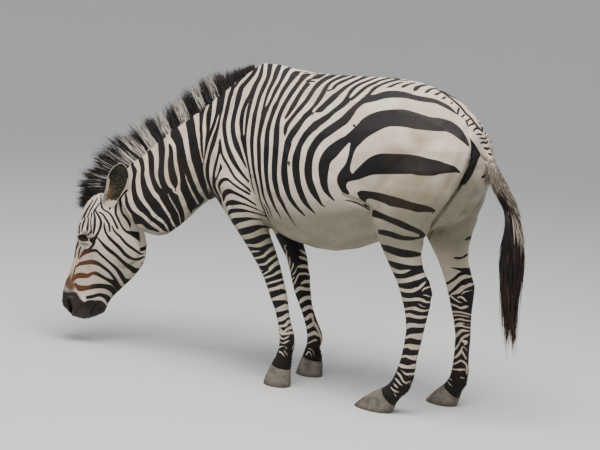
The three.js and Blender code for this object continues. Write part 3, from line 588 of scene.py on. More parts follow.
HINDLEG_STRIPES = {
    "gaskin 1": [
        (384, 245, 385.5, 251), (387, 245.2, 388, 252.5), (400, 248.8, 400, 256.7),
        (410, 250.5, 409, 257.5), (419, 252.5, 418, 256.3), (423, 253.5, 423, 254.6)],
    "gaskin 2": [
        (387, 260, 388, 263.5), (391, 261, 391, 266.3), (400, 263.5, 397, 269.3), (405, 264.5, 400, 270),
        (410, 265.4, 405, 269.8), (415, 265.7, 409, 269.5), (419, 265.5, 412, 270.2),
        (424, 264.6, 420, 271), (426, 264.5, 427, 270)],
    "gaskin 3": [
        (391.5, 271, 392.5, 274), (394, 272.5, 394.5, 277), (397, 273.6, 397, 278.3),
        (404, 273.5, 405, 278.3), (412, 269.8, 413, 276), (421, 267, 421, 273.3), (426, 267, 427, 272)],
    "hock 1": [
        (395.5, 282, 398, 287), (398, 283.3, 401, 287.7), (402, 283.3, 405, 288.8),
        (410, 282.2, 412, 288.8), (414, 280.8, 415, 287.3), (418, 279.8, 418, 287), (421, 278.8, 420, 285),
        (424, 277.5, 422.5, 283), (427, 277, 425, 282), (431, 279, 430, 284)],
    "hock 2": [
        (399.5, 291, 401.5, 296.5), (404, 292.3, 404, 297.5), (408, 292.8, 408, 298.2),
        (412, 292.7, 412, 298), (416, 291.3, 416, 297.5), (420, 288.8, 420, 297.8), (423, 286, 424, 299),
        (427, 282, 427, 301), (431, 283, 435, 301.5)],
    "hock 3": [
        (402.5, 301.3, 403.5, 308), (407, 301.5, 407, 307.5), (417, 301, 415, 306.5),
        (421, 301.5, 419, 308.3), (425, 302.8, 423, 309.5), (429, 303.2, 427, 309.5), (434, 301, 431, 308)],
    "hind cannon 1": [
        (404.5, 311, 405, 313.5), (408, 310, 408, 313), (412, 310, 411, 313.3), (416, 310.7, 414, 314.5),
        (420, 311.8, 418, 315.5), (424, 312, 422, 315.5), (429, 310.8, 429, 316)],
    "hind cannon 2": [
        (405, 317.5, 406.5, 323.8), (408, 317, 409, 322.8), (411, 317.5, 412, 322.8),
        (418, 318.9, 420, 323.8), (422, 318.9, 424, 323.5), (428, 317.7, 428, 322.4)],
    "hind cannon 3": [
        (406, 329.5, 405, 336), (409.5, 327.8, 408, 334.5), (412, 327.3, 411, 333.5),
        (420, 327.6, 419, 333), (424, 327.4, 422, 332.5), (427, 327, 427, 331.3)],
    "hind cannon 4": [
        (404, 338.4, 403, 343.6), (408, 337.8, 407, 343), (411, 337.3, 410, 342.8), (418, 339, 418, 343.8),
        (421, 338.8, 421, 343.5), (425, 337.8, 424, 342.8)],
    "hind cannon 5": [
        (401, 346.6, 400.5, 353.3), (405, 346.8, 404, 353), (407, 346.3, 406, 352.8),
        (409, 347.3, 409, 353.5), (412, 348.3, 413, 353.5), (418, 348.5, 417, 353),
        (422, 347.3, 421, 351.8)],
    "hind cannon 6": [
        (399.5, 355.3, 399, 360.5), (404, 355.3, 402, 361), (406, 355, 405, 362), (408, 356.3, 408, 362.5),
        (411, 357.3, 411, 362), (414, 358, 414, 361), (417, 357.8, 417, 361.3), (420, 356.6, 419, 361)],
}
HINDLEG_PATCHES = {
    "fetlock and pastern": [
        (396.5, 362.3), (398.5, 363), (401, 364.5), (404, 365.2), (413, 365.8), (416.5, 365.3), (420, 364),
        (419, 378), (416, 384), (410, 391), (402, 396), (400, 404), (396, 416), (376, 416), (374, 404),
        (378, 388), (384, 381), (390, 377), (394, 371)],
}
HINDLEG_PALE_LINES = {
    "hock 1": [(425.5, 281.3, 0.4), (423, 284.8, 1.1), (417.5, 289, 1.4), (414, 290, 1.3)],
    "hock 2": [(422, 291.3, 0.6), (424, 289, 0.9), (426.5, 287.8, 0.9), (429.5, 286.8, 0.7)],
    "hock 3": [(423, 295, 0.3), (426.5, 295.5, 0.8), (429.5, 296.5, 0.6), (431, 296.2, 0.4)],
    "hock 4": [(418.5, 303.8, 0.5), (420.5, 305.3, 0.7), (423, 306.5, 0.6), (426, 307, 0.3)],
    "fetlock 1": [(401, 366.5, 0.4), (405.5, 370.3, 0.9), (409, 370.5, 1.1), (415.5, 370, 1)],
    "fetlock 2": [
        (396, 367.8, 0.5), (399, 370.5, 1), (401, 373, 1), (402.5, 376, 0.9), (404.5, 378, 0.9),
        (407, 378.5, 0.8), (410, 377, 0.9), (414, 377, 0.8)],
    "fetlock 3": [(395, 373.8, 0.5), (397.5, 376.5, 1), (399.5, 379, 0.9), (402, 381, 0.6)],
    "fetlock 4": [(393, 378.5, 0.4), (395.5, 381, 0.9), (397.5, 383, 0.7)],
    "fetlock 5": [(390.5, 382, 0.5), (392.5, 384.5, 0.8), (395, 386.3, 0.9), (398.5, 387.3, 0.7)],
    "fetlock 6": [(394, 388, 0.5), (396, 391.5, 0.6)],
}
FAR_FORELEG_PATCHES = {
    "foreleg": [
        (276, 230), (312, 236), (318, 262), (322, 290), (330, 330), (338, 376), (318, 392), (290, 392),
        (292, 352), (298, 330), (288, 300), (280, 272)],
}
FAR_FORELEG_PALE_LINES = {
    "inside 1": [
        (285.5, 245.5, 1), (284.6, 248, 0.7), (286.5, 251, 0.7), (286.3, 255, 0.9), (287, 259, 0.8),
        (288, 263, 0.6)],
    "inside 2": [(289.3, 257, 0.5), (289.8, 261, 0.8), (289.5, 265, 0.8), (288.8, 268, 0.6)],
    "inside 3": [
        (293.3, 263, 0.6), (293, 266, 0.9), (291.7, 269, 0.8), (290.5, 272, 0.7), (289.5, 276, 0.8)],
    "inside 4": [(296.5, 268, 0.5), (295.5, 271, 0.7), (293.5, 274, 0.8), (292, 275, 0.4)],
    "inside 5": [(294.5, 277, 0.5), (292.5, 279, 0.7), (291, 282, 0.8), (290.7, 285, 0.6)],
    "inside 6": [
        (302, 273.8, 1.3), (299.5, 274, 1.1), (297.5, 276.5, 0.9), (296, 280, 0.9), (294.5, 283, 0.8),
        (292.8, 285.5, 0.8), (292.3, 287, 0.5)],
    "forearm 1": [(299.8, 249.8, 0.7), (303, 252, 1.5), (307, 254.5, 1.3), (310, 256, 0.8)],
    "forearm 2": [(299.8, 257, 1.2), (303, 258.3, 1.8), (305.5, 259, 1.3), (309, 262, 0.8)],
    "forearm 3": [(298, 266.8, 1), (302, 266.3, 1.8), (306, 266.6, 1.8), (311, 268.5, 1)],
    "forearm 4": [(302, 273.8, 1.2), (305, 273.5, 1.2), (308.5, 274.5, 0.9), (313, 275, 0.6)],
    "forearm 5": [(301, 284, 0.7), (303.5, 282.3, 1.5), (306.5, 281.5, 1.8), (312, 281.3, 1.5)],
    "forearm 6": [
        (294.5, 292.5, 1.3), (298, 289, 1.9), (301, 288, 1.9), (304, 288.7, 1.6), (307, 289, 1.6),
        (313, 289, 1.5)],
    "knee 1": [(298.5, 302.5, 1.2), (302, 299.5, 2), (305, 297.8, 2), (308, 297, 2), (313, 297.5, 2)],
    "knee 2": [
        (300.5, 310, 1.2), (304.5, 307.8, 1.8), (307.5, 306.3, 1.8), (310.5, 305.8, 1.8), (313, 307.5, 1.3),
        (317, 310, 0.8)],
    "cannon 1": [
        (302.5, 317.5, 1.3), (306.5, 316.3, 1.8), (309, 314.5, 2), (311.5, 313, 1.8), (312.5, 316, 1.2),
        (313.5, 319, 1.2)],
    "cannon 2": [
        (305.5, 325, 1.3), (309.5, 323.5, 1.8), (312, 322, 1.8), (314, 320.5, 1.5), (316, 323, 1.8),
        (318, 326.5, 1.3), (319.5, 330, 1.2), (321, 334, 1), (321.5, 338, 0.8), (320, 343, 0.8)],
    "fetlock 1": [
        (306, 332.3, 1.4), (311, 330.7, 1.8), (314, 329.5, 2), (316.5, 330.5, 1.5), (319, 332.5, 1)],
    "fetlock 2": [
        (307, 339.3, 0.5), (310.5, 338, 0.8), (313.5, 336.5, 0.9), (316, 335.8, 0.8), (317.5, 336.3, 0.4)],
    "pastern 1": [(308, 344, 0.4), (311, 344.5, 0.5), (313, 347, 0.5), (314.5, 350, 0.4)],
    "pastern 2": [(306, 350, 0.6), (308.5, 347, 0.7), (310.5, 348.5, 0.6), (312, 351.5, 0.4)],
}
FAR_HINDLEG_STRIPES = {
    "gaskin, rear edge": [
        (464.5, 239.3, 465, 240.3), (466.5, 237.3, 467, 240.6), (468.5, 235.8, 469, 239.8),
        (473, 233, 473, 240)],
    "gaskin 1": [
        (451.5, 267.3, 451.5, 267.9), (455, 267.7, 455, 269), (461.5, 268.2, 461.5, 271.4),
        (464, 268, 463.5, 274), (467.3, 268, 467.3, 274), (472, 268, 472, 274)],
    "gaskin 2": [
        (471, 271, 471, 275.5), (466, 270, 466, 274.5), (461.5, 272, 462, 275.3), (458, 273.5, 459, 276.7),
        (454.5, 277, 456, 279.3), (447.5, 282, 448.5, 284), (443, 283.3, 443.5, 286)],
    "gaskin 3": [
        (474, 277, 474, 283), (468, 278.2, 469, 283), (464, 279.3, 465.5, 285), (461, 281, 461.5, 285.5),
        (455, 286.5, 456.3, 290), (452, 289.6, 453, 292), (449, 292, 450.5, 294), (445.5, 294.5, 446, 297)],
}
FAR_HINDLEG_PATCHES = {
    "hock to coronet": [
        (478, 284), (472, 286), (466, 288.5), (459, 293), (453, 295), (444, 296), (442, 312), (446, 326),
        (450, 345), (447, 372), (444, 392), (432, 410), (430, 432), (470, 432), (476, 396), (478, 340),
        (482, 310)],
}
FAR_HINDLEG_LINES = {
    "gaskin mark": [
        (454, 258, 0.4), (456, 257.8, 0.9), (458.5, 258.3, 1), (463.5, 257.2, 0.8), (465, 256, 1),
        (467, 254.5, 0.9)],
}
FAR_HINDLEG_PALE_LINES = {
    "point of hock 1": [
        (470, 283.5, 0.6), (467, 286.3, 1), (464, 288, 1.2), (461, 290.5, 1.5), (457.5, 292.8, 1.2),
        (453.5, 293.3, 1)],
    "point of hock 2": [(472, 290.3, 0.4), (467, 291.3, 0.7), (464, 292.3, 0.8), (461.5, 294.5, 0.5)],
    "hock 1": [(446, 298.5, 0.9), (450.5, 296, 1), (453, 298, 1), (459, 302, 0.8), (462.5, 302.7, 0.5)],
    "hock 2": [(457, 297.8, 0.6), (460, 297, 1), (463, 298, 1.1), (465, 300, 0.9), (467, 301.5, 0.5)],
    "hock 3": [
        (446, 303.3, 1), (450, 304, 1.1), (456, 305.8, 1), (459, 307.5, 1), (462, 308, 1.3),
        (465, 307, 1.5), (468, 306.5, 0.8)],
    "cannon 1": [(446, 310.5, 1), (451, 311.8, 1.2), (459, 312, 1), (467, 313.8, 0.9), (472, 315.3, 0.8)],
    "cannon 2": [
        (449.5, 318.3, 0.6), (453.5, 316, 0.9), (457, 315.3, 0.9), (465, 316.3, 0.8), (469.5, 317.8, 0.6)],
    "cannon 3": [
        (451, 323.3, 0.8), (455, 320.8, 1), (458, 319.8, 1), (462, 320, 1.1), (466, 321, 0.9),
        (471, 321.8, 0.7)],
    "cannon 4": [
        (452, 329, 0.8), (456.5, 327.3, 1.8), (459.5, 326.3, 2.2), (462.5, 327.3, 1.3), (466, 328.8, 1),
        (471, 329.6, 0.9)],
    "cannon 5": [(457, 325.3, 1), (459, 324.3, 0.8), (462, 323.8, 0.8), (465, 325, 0.6), (469, 326.2, 0.5)],
    "cannon 6": [
        (453.5, 343.5, 1.3), (457, 339, 1.8), (459.3, 335.5, 2), (462, 333, 1.8), (465.5, 333, 1.3),
        (470, 333.5, 0.6)],
    "cannon 7": [
        (469.5, 337.3, 0.9), (466, 339.5, 1.8), (463.5, 341, 1.3), (461.5, 343, 1.2), (463, 346, 1.8),
        (466, 347, 2), (465, 350, 1.3)],
    "cannon 8": [(461, 343.5, 0.8), (459.3, 349, 0.9), (456.5, 355, 1.2), (453.5, 359.5, 1)],
    "cannon 9": [
        (462.3, 353, 0.5), (461.5, 357, 1), (460, 361, 1.5), (458, 364.5, 1.5), (455.5, 367.3, 1.3),
        (452, 370, 1)],
    "cannon 10": [(463, 352.5, 0.6), (465, 355, 0.7), (467.5, 358.5, 0.5)],
    "fetlock 1": [(462, 359, 0.9), (463.2, 362, 1.1), (464.5, 365, 1), (466.3, 369.5, 0.8)],
    "fetlock 2": [
        (451, 378.3, 0.8), (458, 373.5, 1.2), (461, 371.3, 1.2), (464, 373.5, 1.3), (466.5, 377, 1),
        (467, 382, 1), (466.5, 388, 1)],
    "fetlock 3": [(450.5, 382.5, 0.8), (456, 383, 1), (460, 383, 1.4), (465, 382.5, 1)],
    "pastern 1": [(461, 392.5, 1), (464, 393.5, 0.8)],
    "pastern 2": [(448.5, 393.5, 0.5), (451.5, 396, 0.8)],
    "pastern 3": [(447.5, 397.5, 0.5), (450, 401, 0.7), (452, 402.5, 0.6)],
}
FACE_STRIPES = {
    "behind the ear": [
        (127, 189.5, 128.3, 190.3), (122.5, 193.3, 124.5, 193.7), (119.8, 196.5, 122, 196.3),
        (119.3, 121, 200), (119.8, 121.8, 208), (121, 123, 212.5), (122.8, 126, 216), (126, 129, 220),
        (128.3, 130.8, 224), (130.2, 130.8, 227.8)],
    "jaw angle": [
        (115.8, 116.8, 202.5), (114.5, 116.8, 208), (114.8, 117, 214), (116.5, 118.8, 218),
        (120.7, 122.5, 226), (123.5, 230.3, 126, 229.8), (126, 232.8, 128, 231), (130, 234.8, 132, 231.2),
        (134, 237.5, 135, 231.8), (137, 239.5, 138.8, 232.2), (140, 242, 139.6, 236)],
    "eye to jaw": [
        (97, 236.5, 97, 238), (101, 240.5, 101, 243.5), (105, 244.5, 105, 248.5), (110, 248.5, 110, 253),
        (115, 252.5, 115, 256.5), (125, 261.5, 125, 266), (130, 264.8, 130, 270), (135, 267.5, 134, 273.5),
        (137.3, 269, 136.5, 271.5)],
    "under the eye": [
        (93.8, 236.5, 96, 237.5), (93.6, 240, 95.6, 240.5), (92.7, 243.3, 95, 244),
        (88.8, 247.9, 91.3, 249.5), (86.5, 249, 89.5, 253), (84.3, 249.5, 86.5, 254),
        (81.3, 253.5, 82, 256.5), (79, 258.8, 79.3, 259.3)],
    "cheek 1": [
        (90.5, 249.7, 90, 252.8), (93, 249, 93, 252), (95, 249, 95.5, 251.8), (97, 249.7, 97.5, 253),
        (100, 252.5, 100, 255.5), (110, 261.3, 110, 264.3), (116, 266, 116, 270.5), (121, 271, 119.5, 276),
        (125, 276.8, 123, 281), (127, 278, 125, 283), (130, 278.3, 128, 281.5)],
    "cheek 2": [
        (104, 222.5, 104.4, 222.3), (103.4, 105, 226), (104.2, 231, 106.2, 230.5), (106, 235, 107.8, 234.3),
        (109, 239.5, 110.5, 237), (114, 244.5, 115, 241.5), (119, 249.5, 120, 245.8),
        (123.5, 255, 125, 251.8), (127, 257.8, 128, 254.5), (130.5, 259.3, 131, 256.6),
        (135, 260.5, 135, 258.2), (139.5, 260.2, 139, 257.8), (142.5, 258.3, 142, 256.8)],
    "nose 1": [
        (76.5, 265.5, 76.3, 267), (78, 263.5, 78, 266), (80, 262, 80, 265.3), (85, 260.7, 86, 264.5),
        (91, 259.7, 92, 264.2), (97, 261, 98, 265.5), (103, 265, 103, 268.5), (109, 269.5, 109, 273),
        (113, 273.7, 112.5, 277.3), (117, 278.2, 115, 280)],
    "nose 2": [
        (72.5, 280, 73, 280.3), (74.5, 275, 75, 278.5), (76, 273, 77, 277.3), (81, 272, 80, 277),
        (87, 273, 88, 276.8), (92, 271.5, 92, 274.5), (96, 271, 95, 274.3), (101, 273.5, 100, 276.5),
        (107, 277, 107, 280), (113, 278.8, 112.5, 283.8), (117, 279, 115, 286.5), (120, 283.5, 117, 288.8),
        (123, 286.5, 119.5, 291.5)],
    "nose 3": [
        (74.3, 281.5, 74.4, 283.3), (76, 281.5, 76, 286), (78, 283, 78, 288.5), (81, 283.7, 81, 289),
        (87, 284, 87, 288), (93, 282.8, 93, 287), (99, 282.3, 99, 286.5), (105, 282.8, 105, 287),
        (111, 283.8, 110, 289.3), (115, 287, 112, 291.5), (117.5, 290.5, 114, 295.5), (119, 293, 116, 297)],
    "lip 1": [
        (86, 293.5, 86, 296), (92, 292.5, 92, 295.5), (98, 291, 98, 294), (103, 291.3, 102, 294.5),
        (109, 293.5, 105.5, 296.8), (112, 298, 107.8, 300.5), (112, 302, 109, 303)],
    "lip 2": [
        (92, 298.5, 93, 300), (98, 297.5, 97, 300.2), (101, 297.8, 100, 300.8), (103.5, 299, 103, 302),
        (105.5, 301.5, 104.5, 304), (107, 305, 105.5, 306)],
}
FACE_PATCHES = {
    "muzzle": [
        (58, 289), (66, 291), (72, 291), (77, 293), (80, 298), (84, 301.5), (88, 300), (92, 299.8),
        (98, 300.5), (103, 302.3), (105.5, 305), (112, 308), (112, 324), (56, 324)],
}
FACE_LINES = {
    "ear base": [(109.5, 209, 0.8), (110.8, 206.5, 1), (112, 204.3, 0.9)],
    "temple": [
        (101, 194, 0.3), (101, 203, 0.8), (102, 207.3, 0.9), (104, 209.8, 0.7), (109.5, 213.3, 0.8),
        (113, 218.5, 0.9), (117, 227, 1), (118, 229, 0.5)],
    "cheek, short": [
        (99.5, 212.3, 0.7), (102, 213.8, 0.7), (104, 216, 0.8), (107.8, 222, 0.9), (109, 224.5, 1),
        (109.8, 230, 0.8), (110, 231.8, 0.4)],
    "cheek 3": [
        (112, 226, 0.5), (114.5, 231.3, 0.8), (120.5, 237, 1.1), (125.5, 243, 1.2), (130.5, 247, 1.3),
        (139, 253, 1), (142, 254.5, 0.5)],
    "brow 1": [
        (94.5, 209.5, 0.7), (100, 218.5, 1), (101, 224, 1.2), (99.3, 230, 1.1), (96.3, 236, 1.1),
        (95.5, 238.5, 1.2)],
    "brow 2": [(93.2, 211.5, 0.4), (94.8, 217, 1), (94.5, 227, 1.2), (93.5, 233, 0.8)],
    "brow 3": [(91.5, 212.5, 0.3), (91.7, 215, 0.6), (90.8, 220, 0.4), (91.3, 232, 0.8)],
    "forehead, under the forelock 1": [
        (97.5, 198, 0.4), (93.5, 205, 0.6), (90, 211, 0.6), (87.5, 217, 0.5)],
    "forehead, under the forelock 2": [(99.5, 203, 0.4), (96, 208.5, 0.6), (94, 211.5, 0.5)],
    "forehead, under the forelock 3": [(93, 200, 0.4), (89.5, 206, 0.5), (86, 213, 0.5), (84, 218, 0.4)],
    "forehead, under the forelock 4": [(89.5, 205, 0.3), (85.5, 212, 0.5), (82, 219, 0.4)],
    "jaw, under side 1": [(141.8, 249.4, 1.9), (147.3, 249, 1.9), (150, 249, 1.9)],
    "jaw, under side 2": [(141, 265.3, 1.4), (144, 264.6, 1.2), (147, 264, 1.2)],
    "forehead 1": [(88.5, 217, 0.3), (88, 223, 0.7), (87.8, 226, 0.9), (87.4, 228.5, 1.3)],
    "forehead 2": [(85.6, 218, 0.4), (84.8, 220, 0.6), (83.6, 222.5, 0.8), (81.8, 230.5, 0.7)],
    "forehead 3": [(80.5, 223, 0.4), (79.6, 226, 0.5), (79.3, 229, 0.6), (79.3, 233, 0.6)],
    "upper lid": [(79, 234.8, 0.6), (82, 234.3, 0.8), (86, 234.2, 0.9), (90, 234.8, 0.8), (92, 236, 0.5)],
    "bridge 1": [(78.3, 241, 0.5), (77.5, 245, 0.9), (76, 249, 0.8), (75.2, 253, 0.7), (75, 257, 0.5)],
    "bridge 2": [(80.7, 247, 0.5), (79.5, 250, 0.8), (78.8, 254, 0.7), (78.3, 257.5, 0.5)],
    "bridge 3": [(76, 265.5, 0.5), (75, 268, 0.5), (73.3, 275, 0.6), (72, 279, 0.5)],
    "bridge 4": [(71, 262, 0.3), (70.3, 267, 0.5), (68.5, 272, 0.7), (67, 277, 1.2), (66, 281, 0.9)],
}
MIDLINE = {
    "x": [-1.20, -0.824, -0.76, -0.717, -0.656, -0.5615, -0.477, -0.40, -0.319, -0.194, 0.2],
    "y": [-0.2449, -0.130, -0.1270, -0.122, -0.104, -0.070, -0.040, -0.020, -0.008, 0, 0],
    "turn": [17, 17, 17, 17, 17, 17, 15, 11, 6, 0, 0],
}
FIELD_FLOOR = -3.0
RING_BLUNT = 2.2
RING_REACH = 6.0
BACK_LINE = {"across": [205, 232, 250, 262, 275, 300, 340, 380, 410, 434, 450, 470],
             "down": [100, 80, 67, 63.5, 65, 71, 74, 77, 81, 87, 95, 112]}
METRES_PER_PIXEL = 0.0042


def through_window(points):
    """Pixel coordinates of points in the row frame."""
    offset = points - camera_place
    depth = -(offset @ towards_camera)
    across = FRAME_MIDDLE[0] + FOCAL_PIXELS * (offset @ np.array(view_right)) / depth
    down = FRAME_MIDDLE[1] - FOCAL_PIXELS * (offset @ np.array(view_up)) / depth
    return np.stack([across, down], 1)


def rounded(points, closed, steps=3):
    """A smooth line through drawn points."""
    points = np.array(points, float)
    if closed:
        padded = np.concatenate([points[-1:], points, points[:2]])
    else:
        padded = np.concatenate([2 * points[:1] - points[1:2], points, 2 * points[-1:] - points[-2:-1]])
    result = []
    for a, b, c, d in zip(padded, padded[1:], padded[2:], padded[3:]):
        for step in range(steps):
            t = step / steps
            bend = (2 * a - 5 * b + 4 * c - d) * t * t + (3 * b - a - 3 * c + d) * t ** 3
            result.append(0.5 * (2 * b + (c - a) * t + bend))
    if not closed:
        result.append(points[-1])
    return np.array(result)


def segment_distance(spots, start, end):
    """Distance of each spot from a segment, and how far along the segment its nearest point lies."""
    run = end - start
    along = np.clip(((spots - start) @ run) / max(run @ run, 1e-9), 0, 1)
    return np.linalg.norm(spots - start - along[:, None] * run, axis=1), along


def patch_depth(spots, outline):
    """How deep each spot lies inside a closed outline; negative outside."""
    distance = np.full(len(spots), 1e9)
    inside = np.zeros(len(spots), bool)
    for start, end in zip(outline, np.roll(outline, -1, 0)):
        distance = np.minimum(distance, segment_distance(spots, start, end)[0])
        if start[1] != end[1]:
            crossing = (start[1] > spots[:, 1]) != (end[1] > spots[:, 1])
            edge_x = start[0] + (spots[:, 1] - start[1]) * (end[0] - start[0]) / (end[1] - start[1])
            inside ^= crossing & (spots[:, 0] < edge_x)
    return np.where(inside, distance, -distance)


def line_depth(spots, line):
    """How deep each spot lies inside a line of changing width; negative outside."""
    depth = np.full(len(spots), -1e9)
    for start, end in zip(line, line[1:]):
        distance, along = segment_distance(spots, start[:2], end[:2])
        depth = np.maximum(depth, start[2] + along * (end[2] - start[2]) - distance)
    return depth


def near_shape(spots, shape):
    """Which spots lie close enough to a shape for it to reach them."""
    low = shape[:, :2].min(0) + FIELD_FLOOR
    high = shape[:, :2].max(0) - FIELD_FLOOR
    return np.flatnonzero(((spots > low) & (spots < high)).all(1))


def four_numbers(rung):
    """Both edge points of a rung, of which a level one gives only one height."""
    return np.array(rung if len(rung) == 4 else (rung[0], rung[2], rung[1], rung[2]), float)


def lengthened(rungs):
    """A ring of a leg, carried on round the leg past both of its blunt ends."""
    for first, inner in ((0, 1), (-1, -2)):
        end = rungs[first]
        middle = (end[:2] + end[2:]) / 2
        inward = (rungs[inner][:2] + rungs[inner][2:]) / 2
        if np.linalg.norm(end[:2] - end[2:]) > RING_BLUNT:
            step = (middle - inward) / max(np.linalg.norm(middle - inward), 1e-6) * RING_REACH
            longer = end + np.tile(step, 2)
            rungs = [longer] + rungs if first == 0 else rungs + [longer]
    return rungs


def over_the_back(rungs):
    """A stripe of the trunk, carried on over the back if it starts just below it."""
    first, inner = rungs[:2]
    if first[1::2].mean() > np.interp(first[::2].mean(), BACK_LINE["across"], BACK_LINE["down"]) + 7:
        return rungs
    step = (first[:2] + first[2:] - inner[:2] - inner[2:]) / 2
    step *= RING_REACH / max(np.linalg.norm(step), 1e-6)
    return [first + np.tile(step, 2)] + rungs


def painted(spots, stripes=(), patches=(), lines=(), pale_lines=(), rings=()):
    """How deep each pixel spot lies in dark hair; negative in pale hair."""
    field = np.full(len(spots), FIELD_FLOOR)
    outlines = [rounded(outline, True) for group in patches for outline in group.values()]
    for groups, carried_on in ((stripes, over_the_back), (rings, lengthened)):
        for drawn in [rungs for group in groups for rungs in group.values()]:
            rungs = np.array(carried_on([four_numbers(rung) for rung in drawn]))
            edges = [rounded(rungs[:, :2], False), rounded(rungs[:, 2:], False)[::-1]]
            outlines.append(np.concatenate(edges))
    for outline in outlines:
        near = near_shape(spots, outline)
        field[near] = np.maximum(field[near], patch_depth(spots[near], outline))
    for group in lines:
        for drawn in group.values():
            line = rounded(drawn, False)
            near = near_shape(spots, line)
            field[near] = np.maximum(field[near], line_depth(spots[near], line))
    for group in pale_lines:
        for drawn in group.values():
            line = rounded(drawn, False)
            near = near_shape(spots, line)
            field[near] = np.minimum(field[near], -line_depth(spots[near], line))
    return np.clip(field, FIELD_FLOOR, -FIELD_FLOOR)


def ease(low, high, value):
    t = np.clip((value - low) / (high - low), 0, 1)
    return t * t * (3 - 2 * t)


def near_side(spots):
    return painted(
        spots,
        (NECK_STRIPES, TRUNK_STRIPES, FACE_STRIPES),
        (TRUNK_PATCHES, FORELEG_PATCHES, HINDLEG_PATCHES),
        (TRUNK_LINES, FACE_LINES),
        (FORELEG_PALE_LINES, HINDLEG_PALE_LINES),
        (FORELEG_STRIPES, HINDLEG_STRIPES))


def far_foreleg(spots):
    return painted(spots, (), (FAR_FORELEG_PATCHES,), (), (FAR_FORELEG_PALE_LINES,))


def far_hindleg(spots):
    return painted(
        spots,
        (FAR_HINDLEG_STRIPES,),
        (FAR_HINDLEG_PATCHES,),
        (FAR_HINDLEG_LINES,),
        (FAR_HINDLEG_PALE_LINES,))


def front_slide(spots):
    """The drawn front edge of the near foreleg lies a little behind the solid's."""
    edge = np.interp(spots[:, 1], [202, 210, 226, 248, 276, 305, 325], [224, 229, 238, 248, 260, 272, 279])
    inside = spots[:, 0] - edge
    return 3.2 * ease(14, 0, inside) * ease(-16, -8, inside) * ease(198, 206, spots[:, 1]) * ease(
        330, 300, spots[:, 1])


def leftward(points):
    """How far each point lies to the left of the body's middle plane, which turns with the head."""
    middle = np.interp(points[:, 0], MIDLINE["x"], MIDLINE["y"])
    turn = np.radians(np.interp(points[:, 0], MIDLINE["x"], MIDLINE["turn"]))
    left = np.stack([np.sin(turn), -np.cos(turn), np.zeros(len(points))], 1)
    return -(points[:, 1] - middle) * np.cos(turn), left


def leg_slide(points):
    """Pixels by which the drawn marks of each leg lie above its solid, growing down the leg."""
    down_leg = ease(0.42, 0.06, points[:, 2])
    far_hind = (points[:, 0] > 0.45) & (points[:, 1] > 0)
    return np.where(far_hind, 17.0, -5.0) * down_leg


def marking(points, normals):
    """How deep each point of the coat lies in a dark mark, in metres; negative in pale hair."""
    spots = through_window(points)
    spots[:, 1] += leg_slide(points)
    side, left = leftward(points)
    mirrored = points - 2 * np.minimum(side, 0)[:, None] * left
    mirrored_spots = through_window(mirrored)
    mirrored_spots[:, 1] += leg_slide(mirrored)
    mirrored_spots[:, 0] += front_slide(mirrored_spots)
    turned = normals @ towards_camera
    seen = ease(-0.05, 0.22, turned)
    seen *= 1 - ease(1.03, 1.09, points[:, 2]) * ease(0.35, 0.45, points[:, 0])
    # Past the middle of the back the bands run on for as far as they are seen from the left rear.
    near = near_side(mirrored_spots)
    right = np.flatnonzero((side < 0.0) & (points[:, 0] > -0.2))
    direct = near.copy()
    direct[right] = near_side(spots[right])
    field = near + (direct - near) * seen

    # The inner thighs and the belly are pale.
    x, y, z = points.T
    inner = (y < 0) * ease(0.1, 0.6, normals[:, 1]) * ease(0.42, 0.55, z) * ease(0.80, 0.72, z)
    inner *= ease(0.45, 0.55, x)
    field += (FIELD_FLOOR - field) * inner
    under = ease(-0.45, -0.85, normals[:, 2]) * ease(0.45, 0.52, z) * ease(-0.05, 0.1, x)
    field += (FIELD_FLOOR - field) * under

    # The far legs have marks of their own where they are seen from the left rear, and all round lower down.
    fore = (y > 0.015) * ease(0.66, 0.58, z) * ease(0.30, 0.24, x)
    fore *= np.maximum(ease(0.54, 0.46, z), ease(-0.1, 0.1, turned))
    hind = (y > 0.005) * ease(0.95, 0.85, z) * ease(0.52, 0.6, x)
    hind *= np.maximum(ease(0.54, 0.46, z), ease(-0.1, 0.1, turned))
    hind *= ease(0.80, 0.70, z)
    for weight, paint in ((fore, far_foreleg), (hind, far_hindleg)):
        at = np.flatnonzero(weight > 0)
        field[at] += (paint(spots[at]) - field[at]) * weight[at]
    return field * METRES_PER_PIXEL


def store(mesh, name, values):
    layer = mesh.attributes.get(name) or mesh.attributes.new(name, "FLOAT", "POINT")
    layer.data.foreach_set("value", values.astype(np.float32))


# ---------- muscle, fold and face forms ----------
# What shows through the skin: the edges of muscles, ribs and joints, the folds of flank and throat, the
# cleft between the thighs, and the lips, nostrils and bony ridges of the face. The skin is pushed there.
FACE_EDGE = -0.80
FORM_REACH = 2.4
CLEFT_REACH = 6.0
CLEFT_WIDTH = 0.065
CLEFT_DEPTH = 0.075
